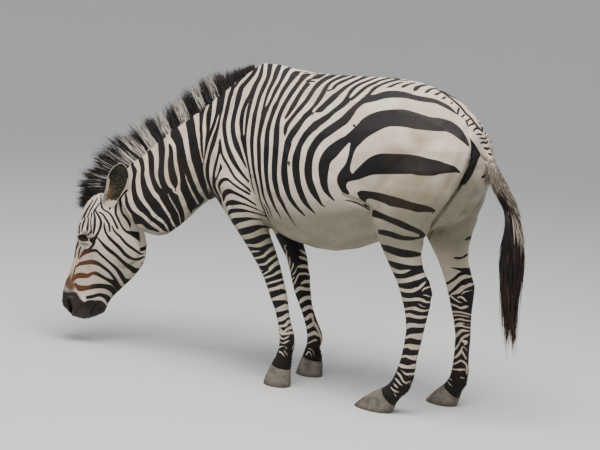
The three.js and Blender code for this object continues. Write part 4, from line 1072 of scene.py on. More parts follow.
# Millimetres out or in, along a line of (across, down, half width) in the same pixels.
FACE_FORMS = [
    (3.0, [(95, 246, 2), (90.5, 256, 2.4), (86, 266, 2.4), (83, 275, 2)]),
    (-3.0, [(86, 247, 2.2), (82.5, 255, 2.4), (79.5, 264, 2.2)]),
    (-2.0, [(89, 258, 2), (89, 270, 2.2), (88, 283, 2.2), (85, 292, 2)]),
    (-16.0, [(66.8, 296.5, 0.5), (68.6, 299, 1.1), (70.2, 302.5, 1.3), (70.6, 306.5, 1), (69.6, 309, 0.5)]),
    (4.5, [(68, 293.5, 1.6), (72.5, 296, 1.8), (74.5, 301, 1.8), (74.5, 307, 1.8), (72, 312, 1.6)]),
    (6.0, [(66, 278, 3), (63.5, 290, 3.4), (64.5, 300, 2.6)]),
    (3.5, [(80, 300, 2.2), (85, 299, 2.2), (88, 303, 2)]),
    (-5.5, [(97.5, 300.5, 0.5), (94.5, 303.5, 0.7), (91.5, 308, 0.8), (89, 313, 0.8), (86.5, 318.5, 0.9)]),
    (3.5, [(98.5, 306, 2.6), (96, 312, 2.6)]),
    (2.5, [(87.5, 307, 2.2), (84.5, 313, 2.2)]),
    (-2.5, [(107, 300, 1.4), (105, 297, 1.4), (102, 294, 1.2)]),
    (-3.5, [(141.6, 236, 1.0), (141.4, 245, 1.1), (141.6, 254, 1.1), (140, 262, 1.1), (135, 270, 1)]),
    (2.5, [(137, 236, 2.4), (137.5, 248, 2.6), (135, 260, 2.4)]),
    (-2.5, [(96, 214, 2.4), (97.5, 221, 2.6), (97, 228, 2.2)]),
    (3.5, [(79, 230.5, 1.6), (84, 229.8, 1.9), (90, 230.5, 1.8), (94, 233.5, 1.5)]),
    (-2.0, [(80, 244.8, 0.8), (84.5, 246.2, 0.9), (89.5, 245.6, 0.9), (93.5, 242, 0.8)]),
    (-2.2, [(104, 222, 2.0), (107, 232, 2.0), (113, 240, 2.0)]),
    (-1.6, [(121, 222, 1.6), (128, 231, 1.8), (134, 236.5, 1.6)]),
]
BODY_FORMS = [
    (-9.0, [(343, 195, 1.2), (351, 199.5, 1.7), (360, 203, 1.9), (368, 207.5, 2), (373.5, 213, 1.8)]),
    (5.0, [(352, 206, 4), (362, 210, 4), (369, 218, 3)]),
    (7.0, [(378, 196, 6), (384, 206, 6), (389, 218, 5)]),
    (-5.0, [(349, 150, 8), (352, 168, 8), (357, 184, 6)]),
    (4.0, [(449, 166, 5), (441, 185, 5), (430, 203, 5)]),
    (3.0, [(388, 100, 6), (396, 108, 6)]),
    (-3.0, [(404, 225, 3.5), (402, 240, 3.5), (401, 256, 3)]),
    (3.5, [(391, 232, 4), (392, 248, 4), (395, 262, 4)]),
    (-2.5, [(414, 240, 2.5), (417, 255, 2.5), (420, 268, 2)]),
    (-6.0, [(206, 116, 3), (207, 136, 3), (209.5, 156, 3), (213, 176, 3), (219, 194, 3)]),
    (5.0, [(226, 150, 6), (224, 168, 6), (223, 186, 6)]),
    (-4.5, [(240, 124, 4), (236, 142, 4), (233, 158, 3)]),
    (5.5, [(236, 186, 6), (240, 198, 6), (247, 210, 5)]),
    (-6.5, [(251, 178, 2.2), (255, 192, 2.4), (259.5, 206, 2.4), (264.5, 218, 2.2), (270, 229, 2)]),
    (-4.0, [(229, 204, 2), (235, 213, 2), (240, 224, 2)]),
    (-2.2, [(272, 150, 2.6), (277, 168, 2.6), (283, 186, 2.6)]),
    (-2.2, [(288, 146, 2.6), (293, 164, 2.6), (299, 182, 2.6)]),
    (-2.0, [(304, 142, 2.6), (309, 160, 2.6), (315, 178, 2.6)]),
    (-1.8, [(320, 140, 2.6), (325, 158, 2.6), (331, 174, 2.6)]),
    (-3.0, [(140, 150, 4), (150, 168, 4), (158, 188, 4), (166, 204, 4)]),
    (-2.4, [(150, 224, 1), (158, 218, 1.2), (167, 213, 1)]),
    (-2.4, [(161, 229, 1), (168, 222, 1.2), (177, 216, 1)]),
    (-2.0, [(172, 231, 0.9), (177, 226, 1), (183, 219, 0.9)]),
    (-3.0, [(128, 200, 1.6), (131, 214, 1.8), (139, 224, 1.8), (147, 234, 1.6)]),
    (-3.0, [(318, 240, 1.5), (334, 242, 1.7), (352, 240, 1.7), (368, 235, 1.5)]),
    (-2.0, [(300, 226, 1.4), (318, 230, 1.6), (338, 230, 1.6)]),
    (3.0, [(406, 282, 2.5), (414, 284, 2.5)]),
    (4.0, [(429, 281, 2), (431.5, 288, 2), (431, 295, 2)]),
    (-3.2, [(421, 302, 1.0), (420, 320, 1.1), (417.5, 340, 1.1), (414, 356, 1)]),
    (-2.5, [(411, 309, 1.0), (411, 325, 1.1), (409, 342, 1.0)]),
    (3.0, [(413, 362, 2.2), (417, 366, 2.0)]),
    (-3.0, [(408, 384, 1.4), (401, 389, 1.4)]),
    (3.5, [(268, 280, 3), (276, 286, 3), (284, 291, 3)]),
    (-3.0, [(287, 300, 1.0), (291, 315, 1.1), (294, 328, 1.0)]),
    (2.5, [(279, 345, 2), (290, 341, 2)]),
    (-2.5, [(256, 236, 2), (264, 254, 2), (270, 268, 2)]),
    (-3.0, [(460, 300, 1.2), (459, 320, 1.2), (458, 340, 1.2), (458, 356, 1.2)]),
    (-2.0, [(452, 262, 3), (455, 276, 3)]),
]
CLEFT_FORMS = [
    (-30.0, [(471.4, 160, 1.1), (466, 177, 1.3), (458, 191, 1.4), (449.5, 204, 1.5), (440, 217, 1.6),
             (431.5, 230, 1.7), (426, 240, 1.7)]),
    (-12.0, [(475, 170, 4), (468, 186, 5), (458, 202, 5), (449, 216, 5), (440, 230, 4)]),
    (-7.0, [(466.6, 120.6, 1), (468.1, 127.5, 1.2), (469.6, 134, 1.3), (471.2, 140, 1.3), (474, 144.8, 1.3),
            (478, 150.4, 1.3), (482, 156.2, 1.2), (486, 161.2, 1.0)]),
    (5.0, [(474, 124, 3), (477.5, 133, 3.6), (481, 141.5, 3.8), (485.5, 150, 3.4), (490, 158, 3)]),
    (-5.0, [(474, 150, 1.4), (470, 164, 1.6)]),
    (6.0, [(466, 158, 2.6), (461, 172, 3), (453, 187, 3.2), (444, 200, 3.2), (434, 214, 3)]),
]
CROUP_FORMS = [(-11.0, [(470, 110, 4), (477, 116, 4.5), (481.5, 123, 3.5)])]
BUTTOCK_FORMS = [
    (-26.0, [(490, 128, 4), (496, 140, 5), (498, 150, 5), (497, 158, 4)]),
    (-15.0, [(491, 178, 4), (488, 190, 5), (484, 203, 5), (478, 214, 4)]),
]


def line_strength(spots, drawn, half_widths):
    """How strongly a form acts at each spot, from 1 on its line to nothing past so many half widths."""
    line = rounded(drawn, False)
    reach = half_widths * line[:, 2].max()
    within = (spots > line[:, :2].min(0) - reach) & (spots < line[:, :2].max(0) + reach)
    near = np.flatnonzero(within.all(1))
    away = np.full(len(near), 1e9)
    for start, end in zip(line, line[1:]):
        distance, along = segment_distance(spots[near], start[:2], end[:2])
        away = np.minimum(away, distance / (start[2] + along * (end[2] - start[2])))
    strength = np.zeros(len(spots))
    strength[near] = np.exp(-0.9 * away ** 2)
    return strength


def pushed(points, normals, forms):
    """Millimetres by which the forms push each point out, on the near side and, mirrored, the far side."""
    side, left = leftward(points)
    mirrored = points - 2 * np.minimum(side, 0)[:, None] * left
    facing = normals - 2 * ((side < 0) * (normals * left).sum(1))[:, None] * left
    spots = through_window(mirrored)
    spots[:, 1] += leg_slide(mirrored)
    total = sum(height * line_strength(spots, drawn, FORM_REACH) for height, drawn in forms)
    return total * ease(0.02, 0.3, facing @ towards_camera)


# The face, the croup and the dock get a mesh twice as fine before they are shaped.
face_bm = bmesh.new()
face_bm.from_mesh(skin_mesh)
face_edges = [edge for edge in face_bm.edges if all(
    vert.co.x < FACE_EDGE or (vert.co.x > 0.52 and vert.co.z > 1.0 and abs(vert.co.y) < 0.12)
    for vert in edge.verts)]
bmesh.ops.subdivide_edges(face_bm, edges=face_edges, cuts=1, use_grid_fill=True)
face_bm.to_mesh(skin_mesh)
face_bm.free()
points = read_points(skin_mesh)
finer = (points[:, 0] < FACE_EDGE + 0.02) | (points[:, 0] > 0.5) & (points[:, 2] > 0.98)
points[finer] = relax(points, read_edges(skin_mesh), 4)[finer]
write_points(skin_mesh, points)

normals = read_normals(skin_mesh)
height = np.where(points[:, 0] < FACE_EDGE, pushed(points, normals, FACE_FORMS), 0.0)
height += pushed(points, normals, BODY_FORMS)
direct = through_window(points)
turned = normals @ towards_camera
behind = points[:, 0] > 0.5
at_outline = behind * np.exp(-(turned / 0.4) ** 2)
for forms, share in (
        (CLEFT_FORMS, behind * ease(-0.2, 0.15, turned)),
        (CROUP_FORMS, at_outline * (points[:, 1] > -0.1)),
        (BUTTOCK_FORMS, at_outline * (points[:, 1] > 0.02))):
    for amount, drawn in forms:
        height += amount * line_strength(direct, drawn, CLEFT_REACH) * share
points = points + normals * height[:, None] / 1000
across, aside, upward = points.T
cleft = np.exp(-(aside / CLEFT_WIDTH) ** 2) * ease(0.60, 0.70, across) * ease(0.90, 0.87, across)
cleft *= ease(0.97, 0.86, upward) * ease(0.55, 0.65, upward)
points[:, 0] -= CLEFT_DEPTH * cleft
points = points - normals * COAT_DEPTH
write_points(skin_mesh, points)
skin_mesh.polygons.foreach_set("use_smooth", [True] * len(skin_mesh.polygons))

# ---------- coat colours ----------
# Short flat hair: cream on the back, with shade painted in below and in the hollows, with black marks that
# turn rusty on the nose. The bare skin of the muzzle is near black.

# Tints of the pale and dark hair, and spots of painted shade: (across, down, half width, half height,
# strength) in the same pixels.
WARM_HAIR = [
    (425, 118, 60, 40, 0.45), (412, 212, 46, 40, 0.75), (458, 352, 26, 52, 1.0), (165, 160, 48, 44, 0.6),
    (298, 110, 70, 40, 0.3), (415, 150, 40, 22, 0.5), (128, 222, 20, 22, 0.3), (300, 345, 34, 40, 0.45),
    (404, 350, 40, 55, 0.4), (505, 180, 22, 40, 0.7), (69, 277, 7, 11, 1.0), (412, 178, 46, 30, 0.6),
    (414, 205, 22, 22, 0.9), (330, 92, 120, 26, 0.3),
]
# Painted shade on the pale hair: the belly, the girth, the lower haunch, between the thighs, the far
# foreleg, the hock, under the jaw and the far thigh.
PAINTED_SHADE_SPOTS = [
    (340, 234, 100, 34, 1.4), (405, 180, 60, 44, 0.45), (452, 235, 34, 56, 0.75), (262, 232, 30, 40, 0.35),
    (300, 290, 26, 60, 0.5), (398, 300, 34, 60, 0.35), (128, 262, 26, 30, 0.5), (470, 200, 16, 50, 0.9),
]
NOSE_HAIR = [(67, 280, 6, 9, 1.0), (72, 286.5, 5, 5, 0.8)]
RUST_HAIR = [(80, 269, 22, 28, 1.0), (72, 284, 14, 14, 0.6)]


def blotch(spots, blotches):
    """Soft oval areas, at most 1 where they meet."""
    total = np.zeros(len(spots))
    for across, down, wide, high, strength in blotches:
        away = ((spots[:, 0] - across) / wide) ** 2 + ((spots[:, 1] - down) / high) ** 2
        total += strength * np.exp(-1.2 * away)
    return np.clip(total, 0, 1)


def coat_values(points, normals):
    """All that the coat's colour needs at each point: the skin and every tuft ask this one function."""
    side, left = leftward(points)
    mirrored = points - 2 * np.minimum(side, 0)[:, None] * left
    spots = through_window(mirrored)
    ahead = points[:, 0] < -0.85
    bare = patch_depth(spots, rounded(FACE_PATCHES["muzzle"], True))
    bare *= 1 - 0.75 * ease(77, 71, spots[:, 0]) * ease(298, 290, spots[:, 1])
    return {
        "stripe": marking(points, normals),
        "muzzle": np.where(ahead, np.clip(bare, -3, 3) * METRES_PER_PIXEL, -0.0126),
        "warm": blotch(spots, WARM_HAIR),
        # Painted shade: the spots above, and all hair that faces downwards.
        "painted_shade": np.maximum(blotch(spots, PAINTED_SHADE_SPOTS), ease(0.1, -0.7, normals[:, 2])),
        "rust": blotch(spots, RUST_HAIR) * ahead,
        "nose": blotch(spots, NOSE_HAIR) * ahead,
    }


for key, values in coat_values(points, read_normals(skin_mesh)).items():
    store(skin_mesh, key, values)


def feed(tree, socket, value):
    """Sets an input to a number, or links it to the output that gives its value."""
    if isinstance(value, bpy.types.NodeSocket):
        tree.links.new(value, socket)
    else:
        socket.default_value = value


def node(tree, kind, links=None, **settings):
    """A shader node; links gives its inputs as numbers or as the outputs that feed them."""
    made = tree.nodes.new(kind)
    for key, value in settings.items():
        setattr(made, key, value)
    for key, value in (links or {}).items():
        feed(tree, made.inputs[key], value)
    return made


def attribute(tree, name):
    """The output of a value that the mesh carries at its points."""
    return node(tree, "ShaderNodeAttribute", attribute_name=name).outputs["Fac"]


def noise(tree, where, scale, detail):
    links = {"Vector": where, "Scale": scale, "Detail": detail}
    return node(tree, "ShaderNodeTexNoise", links).outputs["Fac"]


def mixed(tree, factor, first, second):
    """The output of a colour mix, from the first colour at 0 to the second at 1."""
    made = node(tree, "ShaderNodeMix", data_type="RGBA")
    for place, value in ((0, factor), (6, first), (7, second)):
        feed(tree, made.inputs[place], value)
    return made.outputs[2]


def ramped(tree, value, low, high, to_low=0.0, to_high=1.0):
    """The output of a smooth step from to_low, where the value is low, to to_high, where it is high."""
    return node(tree, "ShaderNodeMapRange", {
        "Value": value, "From Min": low, "From Max": high, "To Min": to_low, "To Max": to_high,
    }, interpolation_type="SMOOTHSTEP").outputs["Result"]


def maths(tree, operation, *values):
    made = node(tree, "ShaderNodeMath", operation=operation)
    for socket, value in zip(made.inputs, values):
        feed(tree, socket, value)
    return made.outputs[0]


def new_group(name, inputs, outputs):
    """A node group, with the sockets that give its inputs and those that take its outputs."""
    group = bpy.data.node_groups.new(name, "ShaderNodeTree")
    for socket, kind in inputs:
        group.interface.new_socket(socket, in_out="INPUT", socket_type=kind)
    for socket, kind in outputs:
        group.interface.new_socket(socket, in_out="OUTPUT", socket_type=kind)
    return group, group.nodes.new("NodeGroupInput").outputs, group.nodes.new("NodeGroupOutput").inputs


CREAM = (0.68, 0.57, 0.475, 1)
WARM_CREAM = (0.37, 0.265, 0.175, 1)
# The colour of painted shade on pale hair.
PAINTED_SHADE_CREAM = (0.225, 0.205, 0.15, 1)
BLACK_HAIR = (0.0045, 0.0038, 0.004, 1)
# Black hair with a painted sheen, lighter and bluer, for where it faces upwards.
BLACK_WITH_PAINTED_SHEEN = (0.0125, 0.0105, 0.0125, 1)
BROWN_EDGE = (0.06, 0.034, 0.02, 1)
RUSTY = (0.105, 0.038, 0.014, 1)
NOSE_BROWN = (0.12, 0.055, 0.028, 1)
RUSTY_CREAM = (0.36, 0.2, 0.11, 1)
SHADED_HAIR = (0.2, 0.16, 0.12, 1)
BARE_SKIN = (0.0095, 0.0075, 0.0075, 1)
BROWN_SKIN = (0.035, 0.022, 0.018, 1)

coat_group, given, result = new_group(
    "coat_colours",
    [(name, "NodeSocketFloat") for name in ("Stripe", "Muzzle", "Warm", "Painted_shade", "Rust", "Nose", "Tone")],
    [("Colour", "NodeSocketColor"), ("Bare", "NodeSocketFloat"), ("Hair", "NodeSocketFloat")])
where = node(coat_group, "ShaderNodeTexCoord").outputs["Object"]
fine = noise(coat_group, where, 420.0, 2.0)
broad = noise(coat_group, where, 9.0, 5.0)
dust = noise(coat_group, where, 60.0, 4.0)
uneven = maths(coat_group, "SUBTRACT", fine, 0.5)
rough_edge = maths(coat_group, "MULTIPLY_ADD", uneven, 0.0026, given["Stripe"])
dark = ramped(coat_group, rough_edge, -0.0018, 0.0002)
at_edge = ramped(coat_group, rough_edge, 0.0030, -0.0006)
up = node(coat_group, "ShaderNodeSeparateXYZ", {
    "Vector": node(coat_group, "ShaderNodeNewGeometry").outputs["Normal"]}).outputs["Z"]
# Painted sheen: the more the black hair faces upwards, the lighter it is drawn.
painted_top_sheen = ramped(coat_group, up, 0.0, 0.9)
warm = maths(coat_group, "MULTIPLY", given["Warm"], ramped(coat_group, broad, 0.3, 0.62))
# Painted shade on the pale hair, broken up by a broad noise.
painted_shade = maths(coat_group, "MULTIPLY", given["Painted_shade"], ramped(coat_group, broad, 0.15, 0.6, 0.7, 1.0))
pale = mixed(coat_group, warm, CREAM, WARM_CREAM)
pale = mixed(coat_group, painted_shade, pale, PAINTED_SHADE_CREAM)
pale = mixed(coat_group, ramped(coat_group, given["Rust"], 0.3, 1.0, 0.0, 0.16), pale, RUSTY_CREAM)
nose = ramped(coat_group, maths(coat_group, "MULTIPLY_ADD", dust, 0.5, given["Nose"]), 0.35, 1.15)
pale = mixed(coat_group, nose, pale, NOSE_BROWN)
pale = mixed(coat_group, ramped(coat_group, dust, 0.56, 0.75, 0.0, 0.28), pale, WARM_CREAM)
pale = mixed(coat_group, ramped(coat_group, given["Tone"], 0.0, 1.0, 0.16, 0.0), pale, SHADED_HAIR)
# Painted sheen on black hair that faces upwards.
black = mixed(coat_group, painted_top_sheen, BLACK_HAIR, BLACK_WITH_PAINTED_SHEEN)
black = mixed(coat_group, maths(coat_group, "MULTIPLY", at_edge, 0.4), black, BROWN_EDGE)
black = mixed(coat_group, maths(coat_group, "MULTIPLY", warm, 0.3), black, BROWN_EDGE)
black = mixed(coat_group, ramped(coat_group, given["Rust"], 0.25, 0.8), black, RUSTY)
black = mixed(coat_group, ramped(coat_group, given["Tone"], 0.55, 1.0, 0.0, 0.3), black, BROWN_EDGE)
hair_colour = mixed(coat_group, dark, pale, black)
bare_edge = maths(coat_group, "MULTIPLY_ADD", uneven, 0.012, given["Muzzle"])
bare = ramped(coat_group, bare_edge, -0.005, 0.004)
lip = mixed(coat_group, ramped(coat_group, broad, 0.45, 0.65), BARE_SKIN, BROWN_SKIN)
coat_group.links.new(mixed(coat_group, bare, hair_colour, lip), result["Colour"])
coat_group.links.new(bare, result["Bare"])
swell = noise(coat_group, where, 26.0, 2.0)
rough = maths(coat_group, "MULTIPLY_ADD", swell, 3.0, maths(coat_group, "MULTIPLY_ADD", dust, 0.9, fine))
coat_group.links.new(rough, result["Hair"])


def coat_material(name, tone=None):
    """The coat's finish, for the skin or, with each tuft's own tone, for the hair over it."""
    paint, tree, shader = new_paint(name, {"Specular IOR Level": 0.22})
    place = node(tree, "ShaderNodeGroup", node_tree=coat_group)
    for socket, key in (
            ("Stripe", "stripe"), ("Muzzle", "muzzle"), ("Warm", "warm"), ("Painted_shade", "painted_shade"), ("Rust", "rust"),
            ("Nose", "nose"), ("Tone", tone)):
        feed(tree, place.inputs[socket], attribute(tree, key) if key else 0.5)
    tree.links.new(place.outputs["Colour"], shader.inputs["Base Color"])
    tree.links.new(ramped(tree, place.outputs["Bare"], 0.0, 1.0, 0.62, 0.42), shader.inputs["Roughness"])
    bump = node(tree, "ShaderNodeBump", {
        "Strength": 0.35, "Distance": 0.0012, "Height": place.outputs["Hair"]})
    tree.links.new(bump.outputs["Normal"], shader.inputs["Normal"])
    return paint


coat_paint = coat_material("short_coat")
skin_mesh.materials.clear()
skin_mesh.materials.append(coat_paint)

# ---------- hair ----------
# Mane, tail and lashes are coarse hair, the rest of the coat is short and fine. All of it grows out of the
# skin as tapering locks, and each lock's place on the map is that of its root on the unwrapped skin.
UNWRAP_FACES = 9000
LOCK_ON_MAP = 0.003


def smart_unwrap(source):
    """A light copy of the skin, unwrapped in islands: its triangles and their places on the map."""
    mesh = source.copy()
    copy = bpy.data.objects.new("unwrap", mesh)
    bpy.context.scene.collection.objects.link(copy)
    fewer = copy.modifiers.new("fewer", "DECIMATE")
    fewer.ratio = UNWRAP_FACES / max(sum(len(face.vertices) - 2 for face in mesh.polygons), 1)
    fewer.use_collapse_triangulate = True
    light = bpy.data.meshes.new_from_object(copy.evaluated_get(bpy.context.evaluated_depsgraph_get()))
    copy.modifiers.clear()
    copy.data = light
    bpy.context.view_layer.objects.active = copy
    copy.select_set(True)
    bpy.ops.object.mode_set(mode="EDIT")
    bpy.ops.mesh.select_all(action="SELECT")
    bpy.ops.uv.smart_project(angle_limit=math.radians(60), island_margin=0.004)
    bpy.ops.object.mode_set(mode="OBJECT")
    places = np.empty(len(light.loops) * 2, np.float32)
    light.uv_layers.active.data.foreach_get("uv", places)
    corners = np.empty(len(light.loops), np.int32)
    light.loops.foreach_get("vertex_index", corners)
    triangles = corners.reshape(-1, 3)
    spots = read_points(light)
    bpy.data.objects.remove(copy)
    bpy.data.meshes.remove(light)
    bpy.data.meshes.remove(mesh)
    return spots, triangles, places.reshape(-1, 3, 2).astype(float)


unwrap_points, unwrap_faces, unwrap_places = smart_unwrap(skin_mesh)
unwrap_tree = bvhtree.BVHTree.FromPolygons(unwrap_points.tolist(), unwrap_faces.tolist())


def unwrapped(roots):
    """Places on the coat's map of points near the skin."""
    found = [unwrap_tree.find_nearest(Vector(root)) for root in roots]
    face = np.array([hit[2] for hit in found])
    spot = np.array([hit[0] for hit in found])
    a, b, c = (unwrap_points[unwrap_faces[face, corner]] for corner in range(3))
    whole = np.cross(b - a, c - a)
    size = np.maximum((whole * whole).sum(1), 1e-20)
    weight_b = (np.cross(spot - a, c - a) * whole).sum(1) / size
    weight_c = (np.cross(b - a, spot - a) * whole).sum(1) / size
    weights = np.stack([1 - weight_b - weight_c, weight_b, weight_c], 1)
    return (unwrap_places[face] * weights[:, :, None]).sum(1)


def hair_mesh(name, spines, sides, widths, flatness, values):
    """Joined tapering locks of three-sided section. spines: locks x points x 3, ending in the tips."""
    count, length = spines.shape[:2]
    run = np.gradient(spines, axis=1)
    run /= np.maximum(np.linalg.norm(run, axis=2, keepdims=True), 1e-9)
    across = sides[:, None] - run * (run * sides[:, None]).sum(2, keepdims=True)
    across /= np.maximum(np.linalg.norm(across, axis=2, keepdims=True), 1e-9)
    out = np.cross(across, run)
    body = slice(0, length - 1)
    wide = widths[:, body, None]
    ring = np.stack([
        spines[:, body] + across[:, body] * wide - out[:, body] * wide * flatness * 0.5,
        spines[:, body] - across[:, body] * wide - out[:, body] * wide * flatness * 0.5,
        spines[:, body] + out[:, body] * wide * flatness,
    ], 2).reshape(count, -1, 3)
    verts = np.concatenate([ring, spines[:, -1:]], 1)
    per_lock = verts.shape[1]
    faces = [(0, 1, 2)]
    for step in range(length - 2):
        for corner in range(3):
            a = step * 3 + corner
            b = step * 3 + (corner + 1) % 3
            faces += [(a, a + 3, b + 3), (a, b + 3, b)]
    for corner in range(3):
        faces.append(((length - 2) * 3 + corner, per_lock - 1, (length - 2) * 3 + (corner + 1) % 3))
    faces = (np.array(faces)[None] + (np.arange(count) * per_lock)[:, None, None]).reshape(-1, 3)
    mesh = bpy.data.meshes.new(name)
    mesh.vertices.add(count * per_lock)
    mesh.vertices.foreach_set("co", verts.astype(np.float32).ravel())
    mesh.loops.add(faces.size)
    mesh.loops.foreach_set("vertex_index", faces.astype(np.int32).ravel())
    mesh.polygons.add(len(faces))
    mesh.polygons.foreach_set("loop_start", np.arange(0, faces.size, 3, dtype=np.int32))
    mesh.polygons.foreach_set("use_smooth", np.ones(len(faces), bool))
    mesh.update(calc_edges=True)
    along = np.append(np.repeat(np.linspace(0, 1, length)[:-1], 3), 1.0)
    store(mesh, "along", np.tile(along, count))
    for key, per_hair in values.items():
        store(mesh, key, np.repeat(per_hair, per_lock))
    corner_place = np.stack([np.append(np.tile([0, 1, 0.5], length - 1), 0.5), along], 1) * LOCK_ON_MAP
    spread = (unwrapped(spines[:, 0])[:, None] + corner_place[None]).reshape(-1, 2)
    layer = mesh.uv_layers.new(name="OFBake")
    layer.data.foreach_set("uv", spread[faces.ravel()].astype(np.float32).ravel())
    return mesh


def put_in_scene(name, mesh, paint):
    """Puts a mesh in the scene as one piece of the animal."""
    piece = bpy.data.objects.new(name, mesh)
    bpy.context.scene.collection.objects.link(piece)
    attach(piece, "root")
    mesh.materials.append(paint)
    return piece


def hair_material(name, brown_tips, pale, paler):
    """Coarse hair, black or pale by its stripe value; "dip" is how far up its length pale turns dark."""
    paint, tree, shader = new_paint(name, {"Specular IOR Level": 0.3})
    values = {key: attribute(tree, key) for key in ("stripe", "tone", "along", "dip")}
    white = mixed(tree, values["tone"], paler, pale)
    black = mixed(tree, values["tone"], (0.008, 0.0072, 0.008, 1), (0.021, 0.0165, 0.0155, 1))
    aged = maths(tree, "MULTIPLY", values["along"], maths(tree, "MULTIPLY_ADD", values["tone"], 0.6, 0.4))
    browned = ramped(tree, aged, 0.35, 0.95, 0.0, brown_tips)
    black = mixed(tree, browned, black, (0.12, 0.052, 0.025, 1))
    dipped = ramped(tree, maths(tree, "SUBTRACT", values["along"], values["dip"]), -0.1, 0.1)
    shade = maths(tree, "MAXIMUM", dipped, ramped(tree, values["stripe"], -0.001, 0.001))
    tree.links.new(mixed(tree, shade, white, black), shader.inputs["Base Color"])
    tree.links.new(ramped(tree, values["tone"], 0.0, 1.0, 0.42, 0.62), shader.inputs["Roughness"])
    return paint


lash_hair = hair_material("lash_hair", 0.0, (0.4, 0.3, 0.2, 1), (0.5, 0.4, 0.3, 1))
mane_hair = hair_material("mane_hair", 0.12, (0.40, 0.34, 0.28, 1), (0.66, 0.60, 0.545, 1))
tail_hair = hair_material("tail_hair", 0.8, (0.17, 0.125, 0.09, 1), (0.46, 0.385, 0.31, 1))

# ---------- eyes ----------
# Large dark eyes with a level pupil. Thick lids, black and bare at the rim, close over each eyeball from a
# fold under the brow, and stiff lashes hang from the upper lid.
HEAD_AHEAD = np.array([-math.cos(HEAD_TURN), -math.sin(HEAD_TURN), 0.0])
EYE_OPENING = [
    (79.3, 236.4), (81.4, 235.5), (84.2, 235.1), (87.2, 235.2), (90.0, 235.6), (90.6, 236.9), (89.0, 239.4),
    (85.3, 240.4), (82.0, 239.9), (79.9, 238.4)]
EYE_REACH = 0.06
LID_CLEARANCE = 0.0012
LID_SOFTNESS = 0.002
# The lid's inner rings: degrees past the opening, and height over the eyeball. Then its outer ones: metres
# past the opening, height over the skin, and how much higher that is in the upper lid.
LID_RINGS = [(-5, -0.0006), (0, 0.0004), (3, 0.0024), (8, 0.0036), (13, 0.0034)]
OUTER_RINGS = [(0.0085, 0.0014, 0.0022), (0.0115, 0.0010, 0.0), (0.0145, -0.0018, 0.0)]


def sheet_mesh(name, grid, flip=False, cap_last=False):
    """A mesh over a grid of points, rows x columns, with its columns joined round."""
    rows, columns = grid.shape[:2]
    faces = []
    for row in range(rows - 1):
        for column in range(columns):
            a = row * columns + column
            b = row * columns + (column + 1) % columns
            faces.append((a, b, b + columns, a + columns))
    if cap_last:
        faces.append(tuple(range((rows - 1) * columns, rows * columns)))
    if flip:
        faces = [face[::-1] for face in faces]
    mesh = bpy.data.meshes.new(name)
    mesh.from_pydata(grid.reshape(-1, 3).tolist(), [], faces)
    mesh.polygons.foreach_set("use_smooth", [True] * len(mesh.polygons))
    return mesh


opening = rounded(EYE_OPENING, True, 7)
rays = sight_lines(opening)
depth = (camera_place - eye_centre) @ towards_camera
flat = camera_place + rays * depth - eye_centre
lid_edge = flat + np.outer(np.sqrt(np.maximum(EYE_RADIUS ** 2 - (flat ** 2).sum(1), 0)), back)
lid_edge /= np.linalg.norm(lid_edge, axis=1, keepdims=True)
eye_axis = lid_edge.mean(0) / np.linalg.norm(lid_edge.mean(0))
eye_up = np.array([0, 0, 1]) - eye_axis * eye_axis[2]
eye_up /= np.linalg.norm(eye_up)
eye_across = np.cross(eye_up, eye_axis)


def about_eye(directions):
    """Polar angles of directions from the eyeball's middle: round its axis, and away from it."""
    turn = np.arctan2(directions @ eye_up, directions @ eye_across)
    return turn, np.arccos(np.clip(directions @ eye_axis, -1, 1))


def from_eye(turn, away):
    """The directions that have these polar angles."""
    flat = np.cos(turn)[..., None] * eye_across + np.sin(turn)[..., None] * eye_up
    return np.sin(away)[..., None] * flat + np.cos(away)[..., None] * eye_axis


edge_turn, edge_away = about_eye(lid_edge)
order = np.argsort(edge_turn)
edge_turn, edge_away = edge_turn[order], edge_away[order]

# The skin is laid over the eyeball, and sinks under it where the lids open.
side, left = leftward(points)
mirrored = points - 2 * np.minimum(side, 0)[:, None] * left
near_eye = np.linalg.norm(mirrored - eye_centre, axis=1) < EYE_REACH
near_eye = np.flatnonzero(near_eye & (np.abs(side) > 0.03))
offset = mirrored[near_eye] - eye_centre
skin_radius = np.linalg.norm(offset, axis=1)
turn, away = about_eye(offset / skin_radius[:, None])
past = np.degrees(away - np.interp(turn, edge_turn, edge_away, period=2 * math.pi))
clear_by = np.clip((skin_radius - EYE_RADIUS - LID_CLEARANCE) / LID_SOFTNESS, -30, 30)
over = EYE_RADIUS + LID_CLEARANCE + LID_SOFTNESS * np.log1p(np.exp(clear_by))
over = np.where(skin_radius > EYE_RADIUS + 0.03, skin_radius, over)
sunk = np.minimum(over, EYE_RADIUS - 0.003 + 0.004 * ease(5, 14, past))
sunk = over + (sunk - over) * ease(20, 13, past)
far = side[near_eye] < 0


def skin_at(radius):
    """The skin, with its points near each eye so far from the eyeball's middle."""
    moved = offset / skin_radius[:, None] * (radius - skin_radius)[:, None]
    moved[far] -= 2 * (moved[far] * left[near_eye][far]).sum(1, keepdims=True) * left[near_eye][far]
    shaped = points.copy()
    shaped[near_eye] += moved
    return shaped


body_tree = bvhtree.BVHTree.FromPolygons(
    skin_at(over).tolist(), [tuple(face.vertices) for face in skin_mesh.polygons])
points = skin_at(sunk)
write_points(skin_mesh, points)

